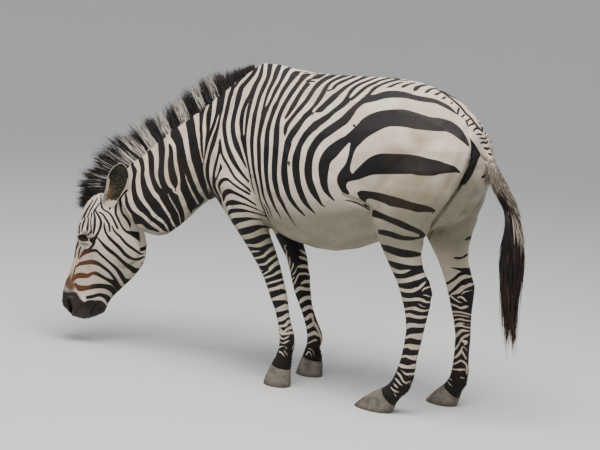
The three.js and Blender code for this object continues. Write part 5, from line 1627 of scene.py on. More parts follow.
# The lids are a sheet of rings round the opening, from under its rim to the skin about it.
uppermost = ease(-0.1, 0.7, np.sin(edge_turn))
corner = ease(0.8, 1.0, np.abs(np.cos(edge_turn)))
rings = []
for past_edge, lift in LID_RINGS:
    directions = from_eye(edge_turn, edge_away + math.radians(past_edge))
    fold = 0.0012 * (past_edge == 13) * uppermost
    rings.append(eye_centre + directions * (EYE_RADIUS + lift - fold)[:, None])
for past_edge, lift, more_above in OUTER_RINGS:
    aims = eye_centre + from_eye(edge_turn, edge_away + past_edge / EYE_RADIUS) * (EYE_RADIUS + EYE_COVER)
    met = [body_tree.find_nearest(Vector(aim)) for aim in aims]
    laid = np.array([hit[0] for hit in met])
    away_from_skin = np.array([hit[1] for hit in met])
    laid = laid + away_from_skin * (lift + more_above * uppermost)[:, None]
    around = np.arange(-4, len(laid) + 4) % len(laid)
    evened = [np.convolve(laid[around, axis], np.ones(9) / 9, "valid") for axis in range(3)]
    rings.append(np.stack(evened, 1))
lid_grid = np.stack(rings)
bare_rim = np.full(len(edge_turn), 0.012)
lid_bare = np.stack([
    bare_rim, bare_rim, bare_rim,
    0.002 + 0.006 * uppermost + 0.004 * corner, -0.007 + 0.003 * uppermost + 0.009 * corner,
    -bare_rim, -bare_rim, -bare_rim])

eye_paint, tree, shader = new_paint("eye", {"Roughness": 0.12, "Specular IOR Level": 0.28})
pupil_in = attribute(tree, "pupil")
iris = mixed(tree, ramped(tree, pupil_in, 0.9, 1.1), (0.014, 0.007, 0.004, 1), (0.002, 0.0018, 0.002, 1))
iris = mixed(tree, ramped(tree, pupil_in, 0.25, 0.0), iris, (0.012, 0.009, 0.008, 1))
tree.links.new(iris, shader.inputs["Base Color"])

BALL_ROWS = 40
BALL_COLUMNS = 56
gaze = HEAD_LEFT * 0.93 + HEAD_AHEAD * 0.34 + np.array([0, 0, 0.06])
gaze /= np.linalg.norm(gaze)
level = np.cross(gaze, [0, 0, 1])
level /= np.linalg.norm(level)
above = np.cross(level, gaze)
polar = np.linspace(0.001, math.pi - 0.001, BALL_ROWS)[:, None]
round_about = (np.arange(BALL_COLUMNS) * 2 * math.pi / BALL_COLUMNS)[None]
across_ball = np.sin(polar) * np.cos(round_about)
up_ball = np.sin(polar) * np.sin(round_about)
cornea = 1 + 0.05 * np.exp(-(polar / 0.42) ** 2)
ball_grid = eye_centre + EYE_RADIUS * cornea[..., None] * (
    across_ball[..., None] * level + up_ball[..., None] * above + np.cos(polar)[..., None] * gaze)
pupil = np.clip(2.0 - np.sqrt((across_ball / 0.42) ** 2 + (up_ball / 0.2) ** 2), 0.5, 2)
pupil = np.where((np.sin(polar) > 0.74) | (np.cos(polar) < 0), 0.0, pupil)

LASHES = 130
LASH_LENGTH = 0.016
chance = np.random.default_rng(5)
lash_turn = chance.uniform(0.15, math.pi - 0.15, LASHES)
lash_away = np.interp(lash_turn, edge_turn, edge_away, period=2 * math.pi) + math.radians(2)
lash_root_way = from_eye(lash_turn, lash_away)
lash_roots = eye_centre + lash_root_way * (EYE_RADIUS + 0.002)
lash_way = lash_root_way * 0.8 + eye_axis * 0.5 - eye_up * 0.25
lash_way += chance.normal(0, 0.1, (LASHES, 3))
lash_steps = np.linspace(0, 1, 4)
lash_length = LASH_LENGTH * chance.uniform(0.7, 1.1, LASHES)[:, None, None]
lash_spines = (
    lash_roots[:, None] + lash_way[:, None] * lash_length * lash_steps[None, :, None]
    - eye_up * lash_length * 0.55 * (lash_steps ** 2)[None, :, None])
lash_width = 0.00055 * np.ones((LASHES, 1)) * np.array([[1, 0.9, 0.6, 0]])
for name in ("left", "right"):
    flip = name == "right"
    mirror = on_right if flip else np.array
    grid = mirror(ball_grid.reshape(-1, 3)).reshape(ball_grid.shape)
    ball_mesh = sheet_mesh("eyeball_" + name, grid, flip)
    store(ball_mesh, "pupil", pupil.ravel())
    eyeball = put_in_scene("eyeball_" + name, ball_mesh, eye_paint)
    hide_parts("eye_" + name)
    lid_points = mirror(lid_grid.reshape(-1, 3))
    lid_mesh = sheet_mesh("lids_" + name, lid_points.reshape(lid_grid.shape), flip)
    facing = np.tile(-HEAD_LEFT if flip else HEAD_LEFT, (len(lid_points), 1))
    lid_values = coat_values(lid_points, facing)
    lid_values["muzzle"] = lid_bare.ravel()
    inner = np.repeat([1, 1, 1, 1, 1, 0.5, 0, 0], len(edge_turn))
    lid_values["stripe"] = lid_values["stripe"] * (1 - inner) - 0.01 * inner
    for key, values in lid_values.items():
        store(lid_mesh, key, values)
    put_in_scene("lids_" + name, lid_mesh, coat_paint)
    spines = mirror(lash_spines.reshape(-1, 3)).reshape(lash_spines.shape)
    lash_values = {"stripe": np.ones(LASHES), "tone": np.zeros(LASHES), "dip": np.full(LASHES, 2.0)}
    sides = np.cross(spines[:, 1] - spines[:, 0], eye_axis)
    lash_mesh = hair_mesh("lashes_" + name, spines, sides, lash_width, 0.8, lash_values)
    put_in_scene("lashes_" + name, lash_mesh, lash_hair)

# ---------- ears ----------
# Large rounded ears: a thin rolled shell of gristle and skin, open to the side, that closes to a tube at
# the root. Dark thin-haired hollow, pale furred rim, and a black patch behind.
EAR_COLUMNS = 24
EAR_WALL = 0.0042
# Up the ear: its front and rear edge across the frame, its height in it, how far the edges lie out from the
# head's middle plane, and how deep the ear bows, both in millimetres.
EAR_OUTLINE = [
    (105.0, 111.5, 212.5, 52, 12), (103.4, 113.6, 208.5, 60, 18), (102.6, 116.0, 203.5, 70, 24),
    (102.8, 119.0, 198, 80, 31), (104.5, 122.8, 193, 90, 37), (106.0, 126.0, 188, 99, 41),
    (106.7, 128.3, 182, 107, 42), (107.8, 128.7, 176, 113, 38), (110.0, 127.8, 171, 117, 31),
    (113.4, 126.0, 167, 120, 22), (117.4, 123.2, 164.4, 121, 12), (119.6, 121.0, 163.3, 122, 5)]
outline = rounded([row[:3] for row in EAR_OUTLINE], False)
ear_out = rounded([row[3:] for row in EAR_OUTLINE], False) / 1000
rise = np.linspace(0, 1, len(outline))

# Each ear keeps clear of the head and neck behind it.
clear = np.zeros(len(outline))
for row, (from_x, to_x, y) in enumerate(outline):
    spots = [(from_x + (to_x - from_x) * k / 6, y) for k in range(7)]
    for place, way in zip(beside_head(spots, np.full(7, ear_out[row, 0])), sight_lines(spots)):
        hit = body_tree.ray_cast(CAMERA_AT, Vector(way))[0]
        if hit:
            behind = (np.array(hit) - place) @ HEAD_LEFT + 0.006
            clear[row] = max(clear[row], min(behind + ear_out[row, 1] * 0.55, 0.045))
clear = np.convolve(np.pad(clear, 4, "edge"), np.ones(9) / 9, "valid")
clear *= ease(0.08, 0.34, rise)
front_rim = beside_head(outline[:, [0, 2]], ear_out[:, 0] + clear - 0.004)
rear_rim = beside_head(outline[:, [1, 2]], ear_out[:, 0] + clear + 0.006)
turn = np.linspace(0, math.pi, EAR_COLUMNS)
shell = front_rim[:, None] + (rear_rim - front_rim)[:, None] * ((1 - np.cos(turn)) / 2)[None, :, None]
behind = shell - towards_camera * (ear_out[:, 1][:, None] * np.sin(turn))[..., None]
open_in = ease(0.10, 0.34, rise) * np.maximum(ear_out[:, 1] - EAR_WALL, 0.002)
closed_out = (1 - ease(0.05, 0.32, rise)) * 0.010
bowed = (open_in - closed_out)[:, None] * np.sin(turn)[None] ** 0.8
inside = shell[:, ::-1] - towards_camera * bowed[..., None]
ear_grid = np.concatenate([behind, inside[:, 1:-1]], 1)
hollow = np.clip(np.sin(turn)[None] * 3.2, 0, 1) * (ease(0.14, 0.34, rise) * ease(1, 0.93, rise))[:, None]
inner_mask = np.concatenate([np.zeros(behind.shape[:2]), hollow[:, 1:-1]], 1)
warm_mask = ease(0.62, 0.3, rise)[:, None] * ease(1.3, 2.6, turn)[None]
warm_mask = np.concatenate([np.zeros(behind.shape[:2]), warm_mask[:, 1:-1]], 1)

ear_paint, tree, shader = new_paint("ear", {"Roughness": 0.7, "Specular IOR Level": 0.25})
ear_where = node(tree, "ShaderNodeTexCoord").outputs["Object"]
ear_fine = noise(tree, ear_where, 110.0, 5.0)
deep = maths(tree, "MULTIPLY_ADD", maths(tree, "SUBTRACT", ear_fine, 0.5), 0.7, attribute(tree, "inner"))
sooty = ramped(tree, ear_fine, 0.38, 0.66)
hollow_colour = mixed(tree, sooty, (0.010, 0.009, 0.006, 1), (0.052, 0.046, 0.026, 1))
warmed = maths(tree, "MULTIPLY", attribute(tree, "warm"), 0.8)
hollow_colour = mixed(tree, warmed, hollow_colour, (0.24, 0.13, 0.06, 1))
banded = ramped(tree, attribute(tree, "stripe"), -0.001, 0.001)
ear_colour = mixed(tree, banded, (0.60, 0.52, 0.43, 1), BLACK_HAIR)
ear_colour = mixed(tree, ramped(tree, deep, 0.25, 0.6), ear_colour, hollow_colour)
tree.links.new(ear_colour, shader.inputs["Base Color"])
ear_bump = node(tree, "ShaderNodeBump", {"Strength": 0.5, "Distance": 0.001, "Height": ear_fine})
tree.links.new(ear_bump.outputs["Normal"], shader.inputs["Normal"])

# Pale hair fringes the rim, longest low down in front.
EAR_LOCKS = 420
chance = np.random.default_rng(6)
low_down = chance.random(EAR_LOCKS) < 0.45
lock_row = np.where(low_down, chance.uniform(0.1, 0.5, EAR_LOCKS), chance.uniform(0.1, 0.99, EAR_LOCKS))
lock_row *= len(outline) - 1
low_row = np.minimum(lock_row.astype(int), len(outline) - 2)
part = (lock_row - low_row)[:, None]
at_front = chance.random(EAR_LOCKS) < 0.68
rim = np.where(at_front[:, None], front_rim[low_row] * (1 - part) + front_rim[low_row + 1] * part,
               rear_rim[low_row] * (1 - part) + rear_rim[low_row + 1] * part)
other = np.where(at_front[:, None], rear_rim[low_row], front_rim[low_row])
rim_run = np.where(at_front[:, None], front_rim[low_row + 1] - front_rim[low_row],
                   rear_rim[low_row + 1] - rear_rim[low_row])
rim_run /= np.linalg.norm(rim_run, axis=1, keepdims=True)
inward = other - rim
inward /= np.linalg.norm(inward, axis=1, keepdims=True)
ear_hair_length = np.where(at_front, 0.008 + 0.022 * ease(0.6, 0.25, lock_row / len(outline)), 0.008)
ear_hair_length = (ear_hair_length * chance.uniform(0.6, 1.1, EAR_LOCKS))[:, None]
steps = np.linspace(0, 1, 4)[None, :, None]
way = rim_run * 0.7 + inward * chance.uniform(0.1, 0.8, (EAR_LOCKS, 1))
way += chance.normal(0, 0.12, (EAR_LOCKS, 3))
ear_spines = (rim - inward * 0.001 - HEAD_LEFT * 0.001)[:, None] + (way * ear_hair_length)[:, None] * steps
ear_spines = ear_spines + HEAD_LEFT * ear_hair_length[:, None] * (
    0.25 * steps - 0.55 * steps ** 2) * chance.uniform(0.3, 1.3, (EAR_LOCKS, 1, 1))
ear_hair_width = chance.uniform(0.0006, 0.0011, (EAR_LOCKS, 1)) * np.array([[1, 1, 0.7, 0]])
ear_values = {"stripe": np.full(EAR_LOCKS, -0.01), "tone": chance.uniform(0.1, 1.2, EAR_LOCKS),
              "dip": np.full(EAR_LOCKS, 2.0)}
ear_patch = np.minimum(rise - 0.60, 0.86 - rise) * 0.1
ear_band = np.minimum(rise - 0.16, 0.27 - rise) * 0.1
patch = np.maximum(ear_patch, ear_band)[:, None] * np.ones(EAR_COLUMNS)[None]
patch = np.where(np.sin(turn)[None] > 0.3, patch, -0.01)
patch = np.concatenate([patch, np.full(inside[:, 1:-1].shape[:2], -0.01)], 1)
for name in ("left", "right"):
    flip = name == "right"
    mirror = on_right if flip else np.array
    grid = mirror(ear_grid.reshape(-1, 3)).reshape(ear_grid.shape)
    ear_mesh = sheet_mesh("skin_of_ear_" + name, grid, not flip, True)
    store(ear_mesh, "inner", inner_mask.ravel())
    store(ear_mesh, "warm", warm_mask.ravel())
    store(ear_mesh, "stripe", patch.ravel())
    ear = put_in_scene("skin_of_ear_" + name, ear_mesh, ear_paint)
    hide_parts("ear_" + name)
    spines = mirror(ear_spines.reshape(-1, 3)).reshape(ear_spines.shape)
    sides = np.cross(spines[:, 1] - spines[:, 0], HEAD_LEFT)
    ear_hair = hair_mesh("hair_of_ear_" + name, spines, sides, ear_hair_width, 0.5, ear_values)
    put_in_scene("hair_of_ear_" + name, ear_hair, mane_hair)

# ---------- hooves ----------
# Narrow upright hooves of hard horn, one to each leg. They grow down from the coronet in fine rings, and are
# dusty and paler in places, and darkest where they meet the ground.
HOOF_VOXEL = 0.0022
HOOF_ROUNDS = 12


def smooth_solid(name, solid):
    """A finer, softer copy of a solid."""
    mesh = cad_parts[solid].data.copy()
    piece = bpy.data.objects.new(name, mesh)
    bpy.context.scene.collection.objects.link(piece)
    remesh = piece.modifiers.new("remesh", "REMESH")
    remesh.mode = "VOXEL"
    remesh.voxel_size = HOOF_VOXEL
    mesh = bpy.data.meshes.new_from_object(piece.evaluated_get(bpy.context.evaluated_depsgraph_get()))
    piece.modifiers.clear()
    piece.data = mesh
    write_points(mesh, relax(read_points(mesh), read_edges(mesh), HOOF_ROUNDS))
    mesh.polygons.foreach_set("use_smooth", [True] * len(mesh.polygons))
    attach(piece, "root")
    return piece


hoof_paint, tree, shader = new_paint("hoof_horn", {"Specular IOR Level": 0.35})
hoof_where = node(tree, "ShaderNodeTexCoord").outputs["Object"]
grown = attribute(tree, "growth")
hoof_noise = noise(tree, hoof_where, 26.0, 6.0)
hoof_grit = noise(tree, hoof_where, 240.0, 3.0)
ring_place = maths(tree, "MULTIPLY_ADD", hoof_noise, 5.0, maths(tree, "MULTIPLY", grown, 900.0))
ring_wave = maths(tree, "SINE", ring_place)
worn = ramped(tree, hoof_noise, 0.35, 0.65)
hoof_colour = mixed(tree, worn, (0.215, 0.18, 0.15, 1), (0.105, 0.085, 0.068, 1))
ringed = ramped(tree, ring_wave, -1.0, 1.0, 0.0, 0.22)
hoof_colour = mixed(tree, ringed, hoof_colour, (0.055, 0.045, 0.036, 1))
hoof_colour = mixed(tree, ramped(tree, hoof_grit, 0.52, 0.7, 0.0, 0.5), hoof_colour, (0.07, 0.055, 0.04, 1))
hoof_colour = mixed(tree, ramped(tree, grown, 0.022, 0.002, 0.0, 0.6), hoof_colour, (0.06, 0.045, 0.032, 1))
tree.links.new(hoof_colour, shader.inputs["Base Color"])
tree.links.new(ramped(tree, hoof_grit, 0.3, 0.7, 0.5, 0.75), shader.inputs["Roughness"])
hoof_bump = node(tree, "ShaderNodeBump", {
    "Strength": 0.45, "Distance": 0.0009, "Height": maths(tree, "MULTIPLY_ADD", ring_wave, 0.5, hoof_grit)})
tree.links.new(hoof_bump.outputs["Normal"], shader.inputs["Normal"])
for name in ("fore_hoof_left", "fore_hoof_right", "hind_hoof_left", "hind_hoof_right"):
    hoof = smooth_solid("horn_of_" + name, name)
    store(hoof.data, "growth", read_points(hoof.data)[:, 2])
    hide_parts(name)
    hoof.data.materials.clear()
    hoof.data.materials.append(hoof_paint)

# ---------- mane ----------
# Stiff upright hair along the crest of the neck, from the withers to between the ears, in pale tufts and
# black ones that carry on the bands of the neck. Black tips cover most of it over the poll and forehead.
STATION_ZERO = 236
MANE_LOCKS = 8900
MANE_CLUMPS = 150
MANE_LEAN = 0.055
# From the withers on: (along, up) of the tips and of the roots, across, and half the width, in millimetres
# from a point on the ground that lies STATION_ZERO behind the middle of the frame.
MANE_STATIONS = [
    ((-500, 1350), (-486, 1320), -4, 12), ((-600, 1300), (-570, 1240), -14, 17),
    ((-698, 1252), (-650, 1150), -30, 20), ((-806, 1176), (-752, 1068), -52, 22),
    ((-922, 1090), (-856, 974), -80, 24), ((-1042, 1010), (-950, 888), -108, 25),
    ((-1156, 924), (-1026, 806), -134, 26), ((-1232, 802), (-1066, 744), -154, 26),
    ((-1262, 694), (-1100, 700), -174, 24), ((-1242, 620), (-1150, 660), -170, 16),
]
MANE_PALE = [
    [(209.5, 99), (214.5, 95), (217, 87), (218, 77), (214.5, 78), (211.5, 88)],
    [(198.5, 108.5), (203.5, 104), (202, 95), (199.5, 87), (194.5, 86), (190.5, 88), (194, 98)],
    [(180, 122), (187.5, 116.5), (185, 106), (179.5, 95), (174, 96), (176, 108)],
    [(163.5, 135), (171, 129.5), (166, 120), (158, 110.5), (151, 111.5), (156, 123)],
    [(150, 148.5), (158, 141.5), (151, 134), (138, 124.5), (128, 125), (137, 135), (145, 142)],
    [(139.5, 156), (146.5, 150), (136, 142.5), (125, 138), (117, 139.5), (130, 148)],
    [(131, 162.5), (136.5, 158), (126, 152), (113, 148.5), (108, 151), (122, 157)],
    [(127, 165.5), (128.5, 161.5), (117, 156.5), (104, 155.5), (103, 158.5), (116, 161.5)],
    [(117, 167), (112, 171), (98, 171.5), (91, 173), (92, 170), (100, 166.5), (111, 164)],
    [(107, 176), (106, 180), (97, 180.5), (89, 182.5), (89, 179.5), (97, 175.5)],
    [(102.5, 181.5), (101.5, 186), (94, 187.5), (87, 191), (87, 188), (94, 183.5)],
    [(98, 187.5), (96.5, 190.5), (91, 193.5), (86, 198), (85.5, 194.5), (91, 189.5)],
]


def station_curve(stations, part, at):
    """Places along a row of stations, smoothly joined; at runs from 0 to 1."""
    line = rounded([(s[part][0], s[2], s[part][1]) for s in stations], False, 8)
    line = (line + np.array([STATION_ZERO, 0, 0])) / 1000
    place = np.linspace(0, 1, len(line))
    return np.stack([np.interp(at, place, line[:, axis]) for axis in range(3)], 1)


chance = np.random.default_rng(11)
at = chance.random(MANE_LOCKS)
tier = chance.random(MANE_LOCKS)
spread = chance.uniform(-1, 1, MANE_LOCKS)
clump_at = np.sort(chance.random(MANE_CLUMPS))
clump = np.clip(np.searchsorted(clump_at, at + chance.normal(0, 0.003, MANE_LOCKS)), 0, MANE_CLUMPS - 1)
clump_reach = chance.uniform(0.9, 1.08, MANE_CLUMPS)
clump_side = chance.uniform(-0.5, 0.5, MANE_CLUMPS)
half = np.interp(at, np.linspace(0, 1, len(MANE_STATIONS)), [s[3] for s in MANE_STATIONS]) / 1000
roots = station_curve(MANE_STATIONS, 1, at)
gathered = at + (clump_at[clump] - at) * 0.45 + chance.normal(0, 0.004, MANE_LOCKS)
gathered += MANE_LEAN * ease(0.42, 0.66, at) * ease(1.0, 0.85, at)
tips = station_curve(MANE_STATIONS, 0, np.clip(gathered, 0, 1))
ahead = station_curve(MANE_STATIONS, 1, np.clip(at + 0.01, 0, 1)) - station_curve(
    MANE_STATIONS, 1, np.clip(at - 0.01, 0, 1))
ahead /= np.linalg.norm(ahead, axis=1, keepdims=True)
stand = tips - roots
leftwards = np.cross(stand, ahead)
leftwards /= np.linalg.norm(leftwards, axis=1, keepdims=True)
leftwards *= np.sign(-leftwards[:, 1:2])
reach = np.where(tier < 0.35, chance.uniform(0.35, 0.75, MANE_LOCKS), chance.uniform(0.82, 1.02, MANE_LOCKS))
reach = np.where(tier > 0.75, chance.uniform(0.98, 1.16, MANE_LOCKS), reach)
reach *= clump_reach[clump] * (1 + 0.16 * ease(0.42, 0.25, at) * ease(0.0, 0.1, at) * (tier > 0.5))
roots = roots - stand * 0.1 + leftwards * (spread * half * 0.95)[:, None]
fan = leftwards * ((spread * 0.7 + clump_side[clump]) * half * 0.6)[:, None]
steps = np.linspace(0, 1, 5)
bow = ahead * chance.normal(0, 0.007, (MANE_LOCKS, 1)) + leftwards * chance.normal(0, 0.004, (MANE_LOCKS, 1))
mane_spines = (
    roots[:, None] + (stand * reach[:, None] * 1.1)[:, None] * steps[None, :, None]
    + fan[:, None] * steps[None, :, None] + bow[:, None] * (steps * steps)[None, :, None])
mane_width = chance.uniform(0.0011, 0.0023, MANE_LOCKS) * np.where(tier > 0.75, 0.6, 1)
mane_width = mane_width[:, None] * np.array([1, 1.1, 0.95, 0.6, 0])
middle = through_window(mane_spines[:, 2] + chance.normal(0, 0.0015, (MANE_LOCKS, 3)))
mane_stripe = painted(middle, (), (dict(enumerate(MANE_PALE)),)) * -METRES_PER_PIXEL
over_poll = ease(0.52, 0.72, at)
mane_dip = chance.normal(0.86, 0.14, MANE_LOCKS) - over_poll * chance.uniform(0.28, 0.5, MANE_LOCKS)
mane_values = {"stripe": mane_stripe, "tone": chance.random(MANE_LOCKS), "dip": mane_dip}
mane_mesh = hair_mesh("mane", mane_spines, ahead, mane_width, 0.6, mane_values)
mane = put_in_scene("mane_locks", mane_mesh, mane_hair)
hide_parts("mane")

# ---------- tail ----------
# Long coarse black hair hangs from the lower half of the dock to below the hocks, browned at the ends. Paler
# hair from the sides of the dock lies over the top of it.
TAIL_LOCKS = 3400
TAIL_WISPS = 14
TAIL_POINTS = 10
# From the top down: (along, up) of the rear and of the front, across, and half the width, as in the mane.
SWITCH_STATIONS = [
    ((752, 936), (710, 916), 0, 22), ((788, 858), (730, 840), 0, 30), ((816, 776), (726, 762), 0, 40),
    ((828, 690), (724, 680), 0, 44), ((832, 590), (734, 584), 0, 40), ((832, 490), (752, 484), 0, 32),
    ((846, 380), (766, 374), 0, 28), ((838, 250), (786, 244), 0, 18),
]
chance = np.random.default_rng(12)
pale_lock = chance.random(TAIL_LOCKS) < 0.15
angle = np.where(pale_lock, chance.normal(0.15, 0.5, TAIL_LOCKS), chance.uniform(0, 2 * math.pi, TAIL_LOCKS))
begin = np.where(pale_lock, chance.uniform(0, 0.06, TAIL_LOCKS), chance.uniform(0, 0.2, TAIL_LOCKS))
finish = np.minimum(begin + chance.uniform(0.35, 0.8, TAIL_LOCKS), chance.uniform(0.7, 1.0, TAIL_LOCKS))
finish = np.where(pale_lock, begin + chance.uniform(0.1, 0.5, TAIL_LOCKS) ** 1.3, finish)
ring_place = np.where(pale_lock, chance.uniform(0.85, 1.06, TAIL_LOCKS),
                      np.sqrt(chance.uniform(0.05, 0.9, TAIL_LOCKS)))
wisp = chance.integers(0, TAIL_WISPS, TAIL_LOCKS)
wisp_angle = chance.uniform(0, 2 * math.pi, TAIL_WISPS)
wisp_place = chance.uniform(0.2, 0.95, TAIL_WISPS)
stray = chance.normal(0, 0.006, (TAIL_LOCKS, 2)) * (chance.random((TAIL_LOCKS, 1)) < 0.4)
tail_spines = []
for step in np.linspace(0, 1, TAIL_POINTS):
    place = begin + (finish - begin) * step
    rear = station_curve(SWITCH_STATIONS, 0, place)
    front = station_curve(SWITCH_STATIONS, 1, place)
    broad = np.interp(place, np.linspace(0, 1, len(SWITCH_STATIONS)), [s[3] for s in SWITCH_STATIONS]) / 1000
    gathered = ease(0.45, 0.95, place) * 0.88 * ~pale_lock
    outermost = ease(0.4, -0.2, np.cos(angle)) * ease(0, 0.05, place)
    inner = 0.45 + 0.55 * np.maximum(ease(0, 0.4, place), outermost)
    inner = np.where(pale_lock, 0.9, inner)
    along_ring = (np.cos(angle) * ring_place * inner * (1 - gathered)
                  + np.cos(wisp_angle[wisp]) * wisp_place[wisp] * gathered)
    across_ring = (np.sin(angle) * ring_place * inner * (1 - gathered)
                   + np.sin(wisp_angle[wisp]) * wisp_place[wisp] * gathered)
    wave = 0.004 * np.sin(place * 14 + wisp * 2.1) * step
    astray = stray * ease(0.3, 1.0, step)
    tail_spines.append(
        (rear + front) / 2 + (rear - front) / 2 * along_ring[:, None] + astray[:, :1] * np.array([1, 0, 0])
        + np.array([0, 1, 0]) * (across_ring * broad + wave + astray[:, 1])[:, None])
tail_spines = np.stack(tail_spines, 1)
tail_sides = np.stack([-np.sin(angle), np.cos(angle), np.zeros(TAIL_LOCKS)], 1)
tail_width = chance.uniform(0.0013, 0.0028, TAIL_LOCKS)[:, None] * np.array(
    [0.8, 1, 1, 1, 1, 1, 0.9, 0.8, 0.55, 0])[None]
tail_values = {
    "stripe": np.where(pale_lock, -0.01, 0.01),
    "tone": chance.random(TAIL_LOCKS),
    "dip": np.where(pale_lock, chance.uniform(0.5, 1.2, TAIL_LOCKS), 2.0),
}
tail_mesh = hair_mesh("tail", tail_spines, tail_sides, tail_width, 0.5, tail_values)
tail = put_in_scene("tail_locks", tail_mesh, tail_hair)
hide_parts("tail_switch")

# ---------- short coat ----------
# Short, close hair over the whole body, laid back and down. It is longest along the dock, the throat, the
# belly and behind the fetlocks, finest on the face and feet, and leaves the muzzle, eyes and horn bare.
TUFTS = {"body": 19000, "neck_and_head": 19000, "legs": 18000}
DOCK_LOCKS = 2600
BODY_HAIR = 0.0095
FINER_HAIR = 0.0085
BELLY_HAIR = 0.004
FETLOCK_HAIR = 0.009
DOCK_LINE = [(0.726, 0, 1.221), (0.774, 0, 1.184), (0.828, 0, 1.121), (0.872, 0, 1.058), (0.920, 0, 0.991),
             (0.970, 0, 0.919), (0.998, 0, 0.854)]
# Where on the animal, which way the hair points there, and how far that way carries.
LIES = [
    ((0.1, 0.0, 0.9), (0.9, 0.0, -0.35), 0.34), ((0.55, 0.0, 0.9), (0.75, 0.0, -0.65), 0.26),
    ((-0.35, 0.0, 0.95), (0.7, 0.0, -0.5), 0.24), ((-0.62, -0.08, 0.8), (0.85, 0.1, 0.1), 0.22),
    ((-0.85, -0.14, 0.62), (0.1, 0.0, -0.95), 0.12), ((-0.92, -0.16, 0.4), (-0.45, -0.14, -0.88), 0.2),
    ((-0.2, 0.0, 0.3), (0.1, 0.0, -1.0), 0.3), ((0.55, 0.0, 0.3), (0.12, 0.0, -1.0), 0.3),
    ((0.84, 0.0, 1.05), (0.42, 0.0, -0.9), 0.1), ((0.74, 0.0, 1.2), (0.75, 0.0, -0.6), 0.08)]


def lie_of_coat(places, facing, chance):
    """The way the hair points at each place, along the skin."""
    total = np.zeros((len(places), 3))
    for middle, way, wide in LIES:
        away = np.linalg.norm(places - np.array(middle), axis=1) / wide
        total += np.exp(-away ** 2)[:, None] * np.array(way) + 1e-6 * np.array(way)
    total /= np.linalg.norm(total, axis=1, keepdims=True)
    total += chance.normal(0, 0.12, total.shape)
    total -= facing * (total * facing).sum(1, keepdims=True)
    return total / np.maximum(np.linalg.norm(total, axis=1, keepdims=True), 1e-6)


def on_skin(weight, count, chance):
    """Random places on the skin: points, normals and the coat's values there."""
    crowd = skin_size * weight
    picked = np.searchsorted(np.cumsum(crowd) / crowd.sum(), chance.random(count))
    picked = np.clip(picked, 0, len(skin_size) - 1)
    shares = -np.log(chance.uniform(1e-6, 1, (count, 3)))
    shares /= shares.sum(1, keepdims=True)
    corners = skin_triangles[picked]
    places = (points[corners] * shares[:, :, None]).sum(1)
    facing = (skin_normals[corners] * shares[:, :, None]).sum(1)
    facing /= np.linalg.norm(facing, axis=1, keepdims=True)
    return places, facing, {key: (value[corners] * shares).sum(1) for key, value in skin_values.items()}


def laid_hair(places, facing, lie, length, rise):
    """Spines of short locks that leave the skin and bend over to lie along it."""
    steps = np.array([0.0, 0.5, 1.0])[None, :, None]
    length = length[:, None, None]
    return (places[:, None] - facing[:, None] * 0.0008 + lie[:, None] * length * steps
            + facing[:, None] * length * rise[:, None, None] * (steps * 1.6 - steps ** 2 * 0.75))


points = read_points(skin_mesh)
skin_normals = read_normals(skin_mesh)
skin_mesh.calc_loop_triangles()
skin_triangles = np.empty(len(skin_mesh.loop_triangles) * 3, np.int32)
skin_mesh.loop_triangles.foreach_get("vertices", skin_triangles)
skin_triangles = skin_triangles.reshape(-1, 3)
a, b, c = (points[skin_triangles[:, corner]] for corner in range(3))
skin_size = np.linalg.norm(np.cross(b - a, c - a), axis=1) / 2
skin_middle = (a + b + c) / 3
skin_values = {}
for key in ("stripe", "muzzle", "warm", "painted_shade", "rust", "nose"):
    value = np.empty(len(points), np.float32)
    skin_mesh.attributes[key].data.foreach_get("value", value)
    skin_values[key] = value.astype(float)
bare_skin = skin_values["muzzle"][skin_triangles].max(1) > -0.004
eyes_at = np.stack([eye_centre, on_right(eye_centre[None])[0]])
near_eyes = np.min([np.linalg.norm(skin_middle - eye, axis=1) for eye in eyes_at], axis=0) < 0.036
covered = ~bare_skin & ~near_eyes & (skin_middle[:, 2] > 0.045)
tuft_paint = coat_material("coat_tufts", "tone")
x, y, z = skin_middle.T
parts = {
    "body": covered * (x > -0.42) * (z > 0.6),
    "neck_and_head": covered * (x <= -0.42) * (1 + 1.5 * (x < -0.8)),
    "legs": covered * (z <= 0.6) * (x > -0.42),
}
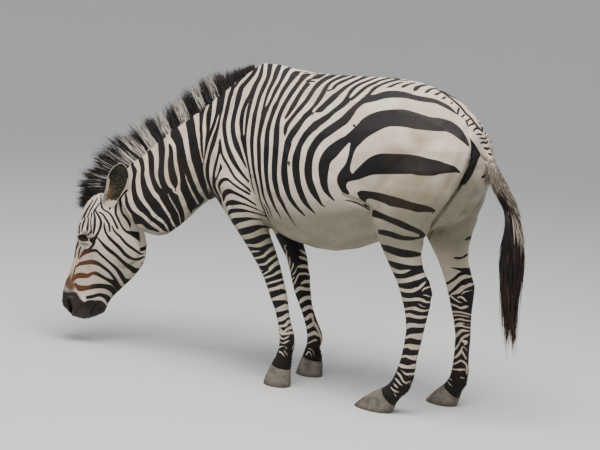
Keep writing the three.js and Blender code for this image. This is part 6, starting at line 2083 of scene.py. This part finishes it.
for name, count in TUFTS.items():
    chance = np.random.default_rng(len(name))
    places, facing, values = on_skin(parts[name], count, chance)
    x, y, z = places.T
    length = np.full(count, BODY_HAIR)
    length = np.where(x < -0.8, FINER_HAIR - 0.0045 * ease(0.62, 0.4, z), length)
    length = np.where((z < 0.6) & (x > -0.42), FINER_HAIR - 0.004 * ease(0.3, 0.1, z), length)
    belly = ease(-0.3, -0.8, facing[:, 2]) * (z > 0.45)
    behind_fetlock = ease(0.2, 0.8, facing[:, 0]) * ease(0.2, 0.16, z) * ease(0.07, 0.1, z)
    length = (length + BELLY_HAIR * belly + FETLOCK_HAIR * behind_fetlock) * chance.uniform(0.7, 1.15, count)
    rise = 0.06 + 0.06 * belly + 0.28 * behind_fetlock
    lie = lie_of_coat(places, facing, chance)
    spines = laid_hair(places, facing, lie, length, rise)
    width = (0.00025 + 0.04 * length)[:, None] * np.array([[0.9, 1.0, 0.0]])
    values["tone"] = chance.random(count)
    mesh = hair_mesh("tufts_" + name, spines, np.cross(lie, facing), width, 0.45, values)
    put_in_scene("tufts_" + name, mesh, tuft_paint)

# The hair of the dock lengthens downwards, and is black along its lower underside, which is painted shade.
chance = np.random.default_rng(31)
dock_line = np.array(DOCK_LINE)
from_line = np.full(len(skin_middle), 1.0)
for start, end in zip(dock_line, dock_line[1:]):
    from_line = np.minimum(from_line, segment_distance(skin_middle, start, end)[0])
down_dock = ease(1.17, 1.06, skin_middle[:, 2]) * (from_line < 0.034)
places, facing, values = on_skin(down_dock, DOCK_LOCKS, chance)
grown = ease(1.16, 0.98, places[:, 2])
length = (0.014 + 0.05 * grown) * chance.uniform(0.6, 1.1, DOCK_LOCKS)
length *= 0.4 + 0.6 * ease(0.84, 0.93, places[:, 2])
lie = lie_of_coat(places, facing, chance)
spines = laid_hair(places, facing, lie, length, 0.08 + 0.1 * grown)
width = (chance.uniform(0.0007, 0.0013, DOCK_LOCKS))[:, None] * np.array([[1.0, 0.9, 0.0]])
# Painted shade: locks that face forwards and to the left, low on the dock, are coloured black.
rearward = facing[:, 0] * 0.8 + facing[:, 1] * 0.3
shaded = chance.random(DOCK_LOCKS) < ease(0.25, -0.35, rearward) * ease(1.02, 0.955, places[:, 2])
dock_values = {
    "stripe": np.where(shaded, 0.01, -0.01),
    "tone": chance.random(DOCK_LOCKS),
    "dip": np.full(DOCK_LOCKS, 2.0),
}
dock_mesh = hair_mesh("hair_of_dock", spines, np.cross(lie, facing), width, 0.5, dock_values)
put_in_scene("hair_of_dock", dock_mesh, tail_hair)
